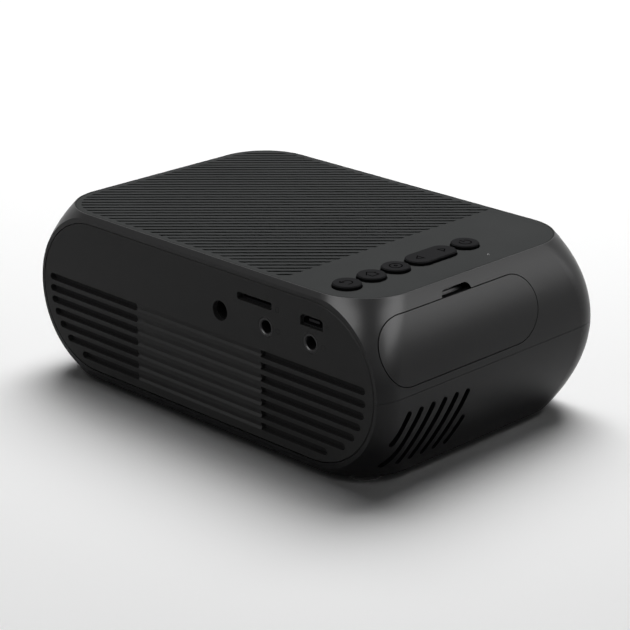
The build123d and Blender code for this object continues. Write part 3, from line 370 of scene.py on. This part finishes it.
class Surface(Enum):
    """Every finish on the projector."""

    # polished ABS: black with broad soft reflections, as from a buffed tool
    SHELL = Moulded(
        "polished_black_abs",
        "101011",
        0.33,
        specular=0.17,
        grain_mm=4.0,
        grain_depth_mm=0.003,
        gloss_drift=0.02,
    )
    # matte ABS: charcoal, even in every light
    TOP = Moulded("satin_charcoal_abs", "424343", 0.5, specular=0.0, grain_mm=0.35, grain_depth_mm=0.008)
    # spark-eroded ABS: matte black, its grain just visible close up
    SIDE = Moulded("spark_eroded_black_abs", "232323", 0.6, specular=0.1, grain_mm=0.45, grain_depth_mm=0.015)
    # dust screens: woven black net behind the vents
    NET = Moulded("woven_dust_net", "111112", 0.8, specular=0.1, grain_mm=0.5, grain_depth_mm=0.12)
    # key caps: matte ABS with a finer grain than the panels
    KEY = Moulded("matte_key_abs", "2c2c2d", 0.55, specular=0.0, grain_mm=0.3, grain_depth_mm=0.008)
    # printed marks on the keys: black ink, darker than the cap
    INK = Moulded("gloss_black_ink", "020202", 0.4, specular=0.0, grain_mm=0.2, grain_depth_mm=0.002)
    # printed marks by the sockets: thin ink, a shade darker than the panel
    GREY_INK = Moulded("grey_ink", "101011", 0.5, specular=0.1, grain_mm=0.2, grain_depth_mm=0.002)
    # black inner mouldings: matte, they swallow light
    INNER = Moulded("matte_black_polycarbonate", "141415", 0.6, grain_mm=0.5, grain_depth_mm=0.015)
    # the focus ring: matte with a soft edge shine
    RING = Moulded("matte_ring_abs", "19191a", 0.4, grain_mm=0.3, grain_depth_mm=0.01)
    # socket mouldings: nylon, a touch shiny where the tool was smooth
    SOCKET = Moulded("black_nylon", "171718", 0.4, specular=0.22, grain_mm=0.4, grain_depth_mm=0.006)
    # power socket: black nylon, darkened to near black as painted shade for the depth of its hole
    SHADED_WELL = Moulded("black_nylon_painted_shade", "040404", 0.6, specular=0.05, grain_mm=0.4, grain_depth_mm=0.006)
    # switch plungers: grey acetal
    PLUNGER = Moulded("grey_acetal", "3a3a3c", 0.4, grain_mm=0.3, grain_depth_mm=0.004)
    # stamped socket shells of the far side: dull nickel with fine lines
    STAMPED = Drawn("nickel_plated_steel", "8f9092", 0.32, metallic=1.0, along=(0.05, 1.0, 1.0))
    # card and micro USB sockets: blackened steel, dull
    BLACKENED = Drawn("blackened_steel", "1a1a1b", 0.5, metallic=1.0, along=(0.05, 1.0, 1.0))
    # contacts: bright gold flash over nickel
    CONTACT = Drawn("gold_flashed_contact", "d8b25a", 0.22, metallic=1.0, line_mm=0.15)
    # springy leaves: nickel-plated steel strip
    LEAF = Drawn("nickel_strip", "b9b8b2", 0.25, metallic=1.0, line_mm=0.2)
    # screws: bright zinc
    SCREW = Drawn("zinc_plated_steel", "7d7f84", 0.35, metallic=1.0, line_mm=0.2, along=(1.0, 1.0, 0.05))
    # heat sink: sawn extrusion with lines along its fins
    SINK = Drawn("extruded_aluminium", "c4c5c8", 0.38, metallic=1.0, line_mm=0.35, along=(1.0, 0.04, 1.0))
    # tripod insert: turned brass
    BRASS = Drawn("turned_brass", "c9a24d", 0.28, metallic=1.0, line_mm=0.2, along=(1.0, 1.0, 0.05))
    # camera glass with a violet coating
    LENS = Glass("coated_crown_glass", "f2f2f8", 0.03, ior=1.52, coat=0.6, coat_roughness=0.03, film_nm=120.0)
    # clear acrylic of the light pipe
    CLEAR = Glass("clear_acrylic", "e6e8ea", 0.08, ior=1.49)
    # stepped lenses: acrylic with rings
    STEPPED = Glass("stepped_acrylic_lens", "e9edf0", 0.15, ior=1.49, ring_mm=3.1416)
    # picture panel: dark polarising glass
    PICTURE = Glass("polarising_glass", "3b4148", 0.06, ior=1.52, transmission=0.4)
    # circuit boards: green solder mask
    BOARD = Laminate("green_solder_mask", "0f4426", 0.3)
    # lamp: yellow phosphor in clear silicone
    LAMP = Moulded("phosphor_silicone", "e6cf58", 0.25, coat=0.5, grain_mm=0.3, grain_depth_mm=0.004)
    # cell: blue shrink wrap, smooth with faint wrinkles
    WRAP = Moulded("blue_shrink_wrap", "22508f", 0.22, grain_mm=3.0, grain_depth_mm=0.03)
    # loudspeaker cone: pressed paper
    CONE = Moulded("pressed_paper", "232323", 0.8, specular=0.2, grain_mm=0.5, grain_depth_mm=0.05)
    # feet: soft rubber, dull and faintly rough
    FOOT = Moulded("moulded_rubber", "171717", 0.75, specular=0.3, grain_mm=0.5, grain_depth_mm=0.02)


class Wardrobe:
    """Keeps one material for each surface, so pieces of the same finish share it."""

    def __init__(self) -> None:
        """Starts with nothing made."""
        self._made: dict[Surface, bpy.types.Material] = {}

    def get(self, surface: Surface) -> bpy.types.Material:
        """Gives a surface's material, made the first time it is asked for.

        Args:
            surface: The finish wanted.

        Returns:
            Its material.
        """
        if surface not in self._made:
            self._made[surface] = surface.value.material()
        return self._made[surface]


# ---------------------------------------------------------------- meshes and nodes shared by the classes
def mesh_object(name: str, mesh: bmesh.types.BMesh, material: bpy.types.Material) -> bpy.types.Object:
    """Turns a finished bmesh into an object at the origin.

    Args:
        name: The piece's name.
        mesh: The geometry, in metres.
        material: Its one material.

    Returns:
        The linked object.
    """
    bmesh.ops.recalc_face_normals(mesh, faces=mesh.faces[:])
    data = bpy.data.meshes.new(name)
    mesh.to_mesh(data)
    mesh.free()
    data.materials.append(material)
    made = bpy.data.objects.new(name, data)
    bpy.context.scene.collection.objects.link(made)
    return made


def baked(name: str, tree: bpy.types.NodeTree, values: Mapping[str, Any]) -> bpy.types.Object:
    """Runs a geometry tree and keeps its result as a plain mesh object.

    Args:
        name: The piece's name.
        tree: The geometry node tree.
        values: Its named inputs.

    Returns:
        The linked object, with no modifier left.
    """
    carrier = bpy.data.objects.new(name + "_carrier", bpy.data.meshes.new(name + "_carrier"))
    bpy.context.scene.collection.objects.link(carrier)
    modifier = carrier.modifiers.new("form", "NODES")
    modifier.node_group = tree
    for item in tree.interface.items_tree:
        if item.item_type == "SOCKET" and item.in_out == "INPUT" and item.name in values:
            modifier[item.identifier] = values[item.name]
    seen = carrier.evaluated_get(bpy.context.evaluated_depsgraph_get())
    data = bpy.data.meshes.new_from_object(seen)
    data.name = name
    bpy.data.objects.remove(carrier)
    made = bpy.data.objects.new(name, data)
    bpy.context.scene.collection.objects.link(made)
    return made


class StrokeFont:
    """Thin printed marks, drawn as flat strips along lines and arcs in the sign's own plane."""

    @staticmethod
    def arc(centre: Point2, radius: float, start: float, end: float, steps: int = 20) -> list[Point2]:
        """Gives points along an arc.

        Args:
            centre: Its centre.
            radius: Its radius.
            start: First angle in degrees.
            end: Last angle in degrees.
            steps: How many runs it has.

        Returns:
            The points, first to last.
        """
        angles = [math.radians(start + (end - start) * i / steps) for i in range(steps + 1)]
        return [(centre[0] + radius * math.cos(a), centre[1] + radius * math.sin(a)) for a in angles]

    @staticmethod
    def strip(mesh: bmesh.types.BMesh, points: Sequence[Point2], width: float, closed: bool = False) -> None:
        """Adds a flat strip of even width along a run of points, mitred at its corners.

        Args:
            mesh: The mesh that takes it, in millimetres on the plane z = 0.
            points: The centre line.
            width: Its width.
            closed: Whether the end joins the start.
        """
        count = len(points)
        sides: list[tuple[bmesh.types.BMVert, bmesh.types.BMVert]] = []
        for i, (x, y) in enumerate(points):
            before = points[i - 1] if i or closed else points[i]
            after = points[(i + 1) % count] if i + 1 < count or closed else points[i]
            first = Vector((x - before[0], y - before[1]))
            second = Vector((after[0] - x, after[1] - y))
            first = first.normalized() if first.length > 1e-9 else second.normalized()
            second = second.normalized() if second.length > 1e-9 else first
            middle = (first + second).normalized()
            normal = Vector((-middle.y, middle.x))
            reach = width / 2 / max(MITRE_LIMIT, middle.dot(first))
            sides.append(
                (
                    mesh.verts.new((x + normal.x * reach, y + normal.y * reach, 0)),
                    mesh.verts.new((x - normal.x * reach, y - normal.y * reach, 0)),
                )
            )
        for i in range(count if closed else count - 1):
            a, b = sides[i], sides[(i + 1) % count]
            mesh.faces.new((a[0], a[1], b[1], b[0]))


class Mark(Enum):
    """The plain signs on the keys and beside the sockets: centre lines, and whether each is closed."""

    BACK = (
        (StrokeFont.arc((0.1, -0.1), 0.95, -90, 90) + [(-1.1, 0.85)], False),
        ([(0.1, -1.05), (-0.7, -1.05)], False),
        ([(-0.5, 1.45), (-1.15, 0.85), (-0.5, 0.25)], False),
    )
    HOME = (
        ([(-1.4, 0.1), (0.0, 1.4), (1.4, 0.1)], False),
        ([(-0.95, 0.2), (-0.95, -1.1), (0.95, -1.1), (0.95, 0.2)], False),
    )
    SELECT = (
        (StrokeFont.arc((0, 0), 1.3, 0, 345), True),
        (StrokeFont.arc((0, 0), 0.3, 0, 330, 10), True),
    )
    POWER = (
        (StrokeFont.arc((0, -0.1), 1.25, 125, 415, 30), False),
        ([(0, 1.45), (0, 0.1)], False),
    )
    LESS = (([(0.55, 0.95), (-0.75, 0.0), (0.55, -0.95)], True),)
    MORE = (([(-0.55, 0.95), (0.75, 0.0), (-0.55, -0.95)], True),)
    HEADPHONES = (
        (StrokeFont.arc((0, -0.1), 0.85, 0, 180, 14), False),
        ([(-0.85, -0.1), (-0.85, -0.8)], False),
        ([(0.85, -0.1), (0.85, -0.8)], False),
    )
    CARD = (([(-0.6, -0.8), (0.6, -0.8), (0.6, 0.8), (-0.2, 0.8), (-0.6, 0.4)], True),)
    DIRECT = (
        ([(-1.0, 0.28), (1.0, 0.28)], False),
        ([(-1.0, -0.28), (-0.5, -0.28)], False),
        ([(-0.25, -0.28), (0.25, -0.28)], False),
        ([(0.5, -0.28), (1.0, -0.28)], False),
    )
    PICTURE = (
        ([(-0.9, -0.6), (0.9, -0.6), (0.9, 0.6), (-0.9, 0.6)], True),
        ([(-0.4, -0.9), (0.4, -0.9)], False),
    )

    def piece(
        self, name: str, place: Matrix, width: float, thickness: float, material: bpy.types.Material
    ) -> bpy.types.Object:
        """Prints the sign as a thin raised film.

        Args:
            name: The piece's name.
            place: From the sign's own plane, in millimetres, to the row frame, in millimetres.
            width: The stroke's width in millimetres.
            thickness: The film's thickness in millimetres.
            material: The ink.

        Returns:
            The linked object.
        """
        mesh = bmesh.new()
        for points, closed in self.value:
            StrokeFont.strip(mesh, points, width, closed)
        film = bmesh.ops.extrude_face_region(mesh, geom=mesh.faces[:])
        top = [v for v in film["geom"] if isinstance(v, bmesh.types.BMVert)]
        bmesh.ops.translate(mesh, verts=top, vec=(0, 0, thickness))
        mesh.transform(Matrix.Scale(MM, 4) @ place)
        return mesh_object(name, mesh, material)


class ContactRow:
    """A row of equal contact strips, grown by geometry nodes."""

    def __init__(self) -> None:
        """Builds the tree with its named inputs."""
        tree = bpy.data.node_groups.new("contact_row", "GeometryNodeTree")
        for label, kind in (
            ("Count", "NodeSocketInt"),
            ("Start", "NodeSocketVector"),
            ("Pitch", "NodeSocketVector"),
            ("Size", "NodeSocketVector"),
            ("Metal", "NodeSocketMaterial"),
        ):
            tree.interface.new_socket(label, in_out="INPUT", socket_type=kind)
        tree.interface.new_socket("Geometry", in_out="OUTPUT", socket_type="NodeSocketGeometry")
        given = add_node(tree, "NodeGroupInput").outputs
        line = add_node(
            tree,
            "GeometryNodeMeshLine",
            {"Count": given["Count"], "Start Location": given["Start"], "Offset": given["Pitch"]},
            mode="OFFSET",
        )
        strip = add_node(tree, "GeometryNodeMeshCube", {"Size": given["Size"]})
        copies = add_node(
            tree,
            "GeometryNodeInstanceOnPoints",
            {"Points": line.outputs["Mesh"], "Instance": strip.outputs["Mesh"]},
        )
        solid = add_node(tree, "GeometryNodeRealizeInstances", {"Geometry": copies.outputs["Instances"]})
        dressed = add_node(
            tree,
            "GeometryNodeSetMaterial",
            {"Geometry": solid.outputs["Geometry"], "Material": given["Metal"]},
        )
        add_node(tree, "NodeGroupOutput", {"Geometry": dressed.outputs["Geometry"]})
        self.tree = tree

    def piece(
        self, name: str, count: int, start: Vector, pitch: Vector, size: Vector, metal: bpy.types.Material
    ) -> bpy.types.Object:
        """Makes one row.

        Args:
            name: The piece's name.
            count: How many strips.
            start: The first strip's centre in millimetres.
            pitch: The step from strip to strip in millimetres.
            size: One strip's size in millimetres.
            metal: Their material.

        Returns:
            The linked object.
        """
        values = {
            "Count": count,
            "Start": start * MM,
            "Pitch": pitch * MM,
            "Size": size * MM,
            "Metal": metal,
        }
        return baked(name, self.tree, values)


# ---------------------------------------------------------------- the projector's sub-assemblies
@dataclass
class SubAssembly:
    """A group of pieces that are dressed together."""

    wardrobe: Wardrobe
    nodes: Mapping[str, bpy.types.Object]
    made: list[str] = field(default_factory=list)

    def surfaces(self) -> Mapping[str, Surface]:
        """Names each CAD node of the group and its finish."""
        return {}

    def build(self) -> None:
        """Makes the group's own pieces; a group of CAD nodes alone has none."""

    def keep(self, piece: bpy.types.Object, body: str, slot: str) -> None:
        """Rides a new piece on its body and adds its name to the pieces made.

        Args:
            piece: The finished piece.
            body: The CAD body that carries it.
            slot: A material slot's name; not used.
        """
        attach(piece, body)
        self.made.append(piece.name)

    def dress(self) -> None:
        """Gives each CAD node its finish, then builds the group's own pieces."""
        for name, surface in self.surfaces().items():
            self.nodes[name].material_slots[0].material = self.wardrobe.get(surface)
        self.build()


@dataclass
class Housing(SubAssembly):
    """The two shells, the ribbed top, the side panels, the feet and the case hardware."""

    mark_width: float = 0.18
    mark_scale: float = 0.85
    mark_gap: float = 1.55
    film: float = 0.02

    def surfaces(self) -> Mapping[str, Surface]:
        """Names each CAD node of the group and its finish."""
        return {
            "upper_shell": Surface.SHELL,
            "lower_shell": Surface.SHELL,
            "top_panel": Surface.TOP,
            "port_panel": Surface.SIDE,
            "video_panel": Surface.SIDE,
            "feet": Surface.FOOT,
            "case_screws": Surface.SCREW,
            "tripod_nut": Surface.BRASS,
            "vent_screens": Surface.NET,
        }

    def beside(self, socket: str) -> Matrix:
        """Gives the place of a sign on the socket panel, upright, read from +X and to the right of a socket.

        Args:
            socket: The CAD node of the socket.

        Returns:
            From the sign's plane to the row frame, in millimetres.
        """
        low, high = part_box(socket)
        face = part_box("port_panel")[1].x / MM
        place = Vector((face, high.y / MM + self.mark_gap, (low.z + high.z) / 2 / MM))
        turn = Matrix(((0, 0, 1), (1, 0, 0), (0, 1, 0))).to_4x4()
        return Matrix.Translation(place) @ turn @ Matrix.Scale(self.mark_scale, 4)

    def build(self) -> None:
        """Prints the small signs beside the sockets."""
        ink = self.wardrobe.get(Surface.GREY_INK)
        for name, mark, socket in (
            ("card_sign", Mark.CARD, "card_slot"),
            ("picture_sign", Mark.PICTURE, "av_jack"),
            ("headphone_sign", Mark.HEADPHONES, "headphone_jack"),
            ("power_supply_sign", Mark.DIRECT, "micro_usb_socket"),
        ):
            sign = mark.piece(name, self.beside(socket), self.mark_width, self.film, ink)
            self.keep(sign, "housing", "key_black")


@dataclass
class Keypad(SubAssembly):
    """Four round keys and the rocker, each with its printed sign, and what is under them."""

    film: float = 0.02
    stroke: float = 0.3
    mark_scale: float = 1.3
    rocker_reach: float = 4.6

    def surfaces(self) -> Mapping[str, Surface]:
        """Names each CAD node of the group and its finish."""
        caps = {f"{name}_key": Surface.KEY for name in ("back", "home", "ok", "power", "rocker")}
        plungers = {f"{name}_plunger": Surface.PLUNGER for name in ("back", "home", "ok", "power")}
        return {
            **caps,
            **plungers,
            "rocker_plunger_a": Surface.PLUNGER,
            "rocker_plunger_b": Surface.PLUNGER,
            "key_switches": Surface.STAMPED,
            "key_board": Surface.BOARD,
            "indicator_led": Surface.LAMP,
            "light_pipe": Surface.CLEAR,
        }

    def above(self, key: str, aside: float) -> Matrix:
        """Gives the place of a sign on a key, read from the rear.

        Args:
            key: The CAD node of the key.
            aside: How far the sign stands from the key's middle across the body.

        Returns:
            From the sign's plane to the row frame, in millimetres.
        """
        low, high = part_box(key)
        middle = (low + high) / 2 / MM
        place = Matrix.Translation((middle.x + aside, middle.y, high.z / MM))
        size = Matrix.Diagonal((self.mark_scale, self.mark_scale, 1, 1))
        return place @ Matrix.Rotation(math.pi, 4, "Z") @ size

    def build(self) -> None:
        """Prints a sign on each key."""
        ink = self.wardrobe.get(Surface.INK)
        signs = (
            ("back_sign", Mark.BACK, "back_key", 0.0),
            ("home_sign", Mark.HOME, "home_key", 0.0),
            ("select_sign", Mark.SELECT, "ok_key", 0.0),
            ("less_sign", Mark.LESS, "rocker_key", self.rocker_reach),
            ("more_sign", Mark.MORE, "rocker_key", -self.rocker_reach),
            ("power_sign", Mark.POWER, "power_key", 0.0),
        )
        for name, mark, body, aside in signs:
            sign = mark.piece(name, self.above(body, aside), self.stroke / self.mark_scale, self.film, ink)
            self.keep(sign, body, "key_black")


@dataclass
class Sockets(SubAssembly):
    """The sockets on both sides, with their contacts."""

    def surfaces(self) -> Mapping[str, Surface]:
        """Names each CAD node of the group and its finish."""
        return {
            # the power socket's near-black colour is painted shade for its deep hole
            "dc_jack": Surface.SHADED_WELL,
            "dc_pin": Surface.LEAF,
            "av_jack": Surface.SOCKET,
            "headphone_jack": Surface.SOCKET,
            "card_slot": Surface.BLACKENED,
            "micro_usb_socket": Surface.BLACKENED,
            "hdmi_socket": Surface.STAMPED,
            "usb_socket": Surface.STAMPED,
        }

    def build(self) -> None:
        """Lays the contact strips on the sockets' tongues."""
        row = ContactRow()
        gold = self.wardrobe.get(Surface.CONTACT)
        # in millimetres: the first strip's middle from the socket's low corner, the step, and a strip's size
        strips = (
            ("micro_usb_contacts", "micro_usb_socket", 5, (2.3, 2.55, 0.96), (0, 0.65, 0), (2.8, 0.32, 0.06)),
            ("hdmi_contacts", "hdmi_socket", 10, (5.2, 3.0, 2.42), (0, 1.0, 0), (7.0, 0.5, 0.06)),
            ("usb_contacts", "usb_socket", 4, (5.7, 2.85, 2.52), (0, 2.5, 0), (7.5, 1.2, 0.06)),
        )
        for name, socket, count, first, pitch, size in strips:
            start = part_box(socket)[0] / MM + Vector(first)
            piece = row.piece(name, count, start, Vector(pitch), Vector(size), gold)
            self.keep(piece, "housing", "contact_metal")


@dataclass
class Optics(SubAssembly):
    """Lens, focus ring, guide tube and the picture engine."""

    def surfaces(self) -> Mapping[str, Surface]:
        """Names each CAD node of the group and its finish."""
        return {
            "lens_bezel": Surface.SHELL,
            "focus_ring": Surface.RING,
            "guide_tube": Surface.INNER,
            "lens_barrel": Surface.INNER,
            "lens_retainer": Surface.INNER,
            "follower_pins": Surface.SCREW,
            "front_lens": Surface.LENS,
            "rear_lens": Surface.LENS,
            "engine_case": Surface.INNER,
            "engine_lid": Surface.INNER,
            "rear_fresnel_lens": Surface.STEPPED,
            "front_fresnel_lens": Surface.STEPPED,
            "picture_panel": Surface.PICTURE,
            "condenser_holder": Surface.INNER,
            "condenser_lens": Surface.CLEAR,
            "led_module": Surface.LAMP,
        }


@dataclass
class Cooling(SubAssembly):
    """Heat sink, fan and its rotor."""

    def surfaces(self) -> Mapping[str, Surface]:
        """Names each CAD node of the group and its finish."""
        return {"heat_sink": Surface.SINK, "fan_frame": Surface.INNER, "fan_rotor": Surface.INNER}


@dataclass
class Electronics(SubAssembly):
    """Boards, battery, loudspeaker and their screws."""

    def surfaces(self) -> Mapping[str, Surface]:
        """Names each CAD node of the group and its finish."""
        return {
            "main_board": Surface.BOARD,
            "side_board": Surface.BOARD,
            "board_screws": Surface.SCREW,
            "battery_cell": Surface.WRAP,
            "battery_contacts": Surface.LEAF,
            "battery_door": Surface.SHELL,
            "speaker_frame": Surface.STAMPED,
            "speaker_cone": Surface.CONE,
        }


# ---------------------------------------------------------------- floor, lamps and camera
@dataclass(frozen=True)
class Softbox:
    """One soft rectangular lamp: where it hangs, its size and how bright its face is.

    A sheen lamp shows only in the gloss of what it faces, as a bright card does, and lights nothing.
    """

    name: str
    azimuth: float
    elevation: float
    distance: float
    width: float
    height: float
    brightness: float
    sheen_only: bool = False

    def hang(self) -> None:
        """Hangs the lamp so that it faces the object."""
        towards = direction(self.azimuth, self.elevation)
        data = bpy.data.lights.new(self.name, "AREA")
        data.shape = "RECTANGLE"
        data.size, data.size_y = self.width, self.height
        data.energy = FACE_POWER * self.width * self.height * self.brightness
        lamp = bpy.data.objects.new(self.name, data)
        turn = towards.to_track_quat("Z", "Y").to_matrix().to_4x4()
        lamp.matrix_world = Matrix.Translation(towards * self.distance) @ turn
        lamp.visible_diffuse = not self.sheen_only
        bpy.context.scene.collection.objects.link(lamp)


@dataclass
class Studio:
    """A pale floor, soft lamps and the camera at the photograph's angle."""

    azimuth: float = 134.81
    elevation: float = 20.451
    distance: float = 607.5
    target_height: float = 23.8
    shift_right: float = 1.531
    shift_down: float = 1.95
    focal_mm: float = 121.87
    sensor_mm: float = 36.0
    world_level: float = 0.05
    backdrop_level: float = 1.0
    floor_half: float = 4.0
    floor_colour: str = "f4f4f4"
    floor_roughness: float = 0.9
    lamps: tuple[Softbox, ...] = (
        # the one lamp that lights the object, high behind it, so that its shadow falls towards the camera
        Softbox("back_bank", 308.0, 62.0, 1.2, 0.9, 0.9, 5.5),
        # cards for the two soft bands of light at the rear corner, and for the door's upper half
        Softbox("left_sheen", 90.0, 42.0, 1.0, 0.8, 0.66, 8.2, sheen_only=True),
        Softbox("right_sheen", 197.0, 36.0, 1.0, 0.65, 0.6, 8.5, sheen_only=True),
        Softbox("rear_sheen", 229.0, 16.0, 1.0, 0.5, 0.3, 2.7, sheen_only=True),
    )

    def camera(self) -> None:
        """Makes the camera and sets it as the scene's."""
        back = direction(self.azimuth, self.elevation)
        right = direction(self.azimuth + 90, 0)
        up = back.cross(right)
        place = Vector((0, 0, self.target_height)) + back * self.distance
        place += right * self.shift_right - up * self.shift_down
        data = bpy.data.cameras.new("photo_camera")
        data.lens = self.focal_mm
        data.sensor_width = self.sensor_mm
        data.clip_start = 0.01
        camera = bpy.data.objects.new("photo_camera", data)
        turn = Matrix((right, up, back)).transposed().to_4x4()
        camera.matrix_world = Matrix.Translation(place * MM) @ turn
        bpy.context.scene.collection.objects.link(camera)
        bpy.context.scene.camera = camera

    @staticmethod
    def seen(tree: bpy.types.NodeTree, unseen: float, level: float) -> bpy.types.NodeSocket:
        """Gives one strength to rays from the camera, off gloss and through glass, and another to the rest.

        Args:
            tree: The world's node tree.
            unseen: The strength that lights the object.
            level: The strength that is looked at.

        Returns:
            The socket with the strength.
        """
        rays = add_node(tree, "ShaderNodeLightPath").outputs
        either = rays["Is Camera Ray"]
        for kind in ("Is Glossy Ray", "Is Transmission Ray"):
            either = add_node(
                tree, "ShaderNodeMath", {0: either, 1: rays[kind]}, operation="MAXIMUM"
            ).outputs[0]
        strength = add_node(tree, "ShaderNodeMapRange", {"Value": either, "To Min": unseen, "To Max": level})
        return strength.outputs["Result"]

    def floor(self) -> None:
        """Lays the pale floor."""
        mesh = bmesh.new()
        bmesh.ops.create_grid(mesh, x_segments=1, y_segments=1, size=self.floor_half)
        material = bpy.data.materials.new("pale_floor_paint")
        material.use_nodes = True
        shader = first_node(material.node_tree, "BSDF_PRINCIPLED")
        shader.inputs["Base Color"].default_value = linear(self.floor_colour)
        shader.inputs["Roughness"].default_value = self.floor_roughness
        shader.inputs["Specular IOR Level"].default_value = 0.0
        floor = mesh_object("floor", mesh, material)

    def build(self) -> None:
        """Sets the stage: camera, floor, world and lamps."""
        self.camera()
        self.floor()
        world = bpy.data.worlds.new("studio")
        bpy.context.scene.world = world
        world.use_nodes = True
        backing = first_node(world.node_tree, "BACKGROUND")
        backing.inputs["Color"].default_value = (1.0, 1.0, 1.0, 1.0)
        level = self.seen(world.node_tree, self.world_level, self.backdrop_level)
        world.node_tree.links.new(level, backing.inputs["Strength"])
        for lamp in self.lamps:
            lamp.hang()
        bpy.context.scene.view_settings.view_transform = "Standard"


def main() -> None:
    """Loads the frame, builds the stage and every sub-assembly, and logs the nodes left without a finish."""
    logging.basicConfig(level=logging.INFO, format="%(name)s: %(message)s")
    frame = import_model()
    Studio().build()
    wardrobe = Wardrobe()
    dressed: set[str] = set()
    for kind in (Housing, Keypad, Sockets, Optics, Cooling, Electronics):
        group = kind(wardrobe, frame["nodes"])
        group.dress()
        dressed |= set(group.surfaces())
        LOG.info("%s: %d nodes dressed, pieces made: %s", kind.__name__, len(group.surfaces()), group.made)
    bare = sorted(set(frame["nodes"]) - dressed)
    if bare:
        LOG.warning("nodes with no finish: %s", bare)


if __name__ == "__main__":
    main()
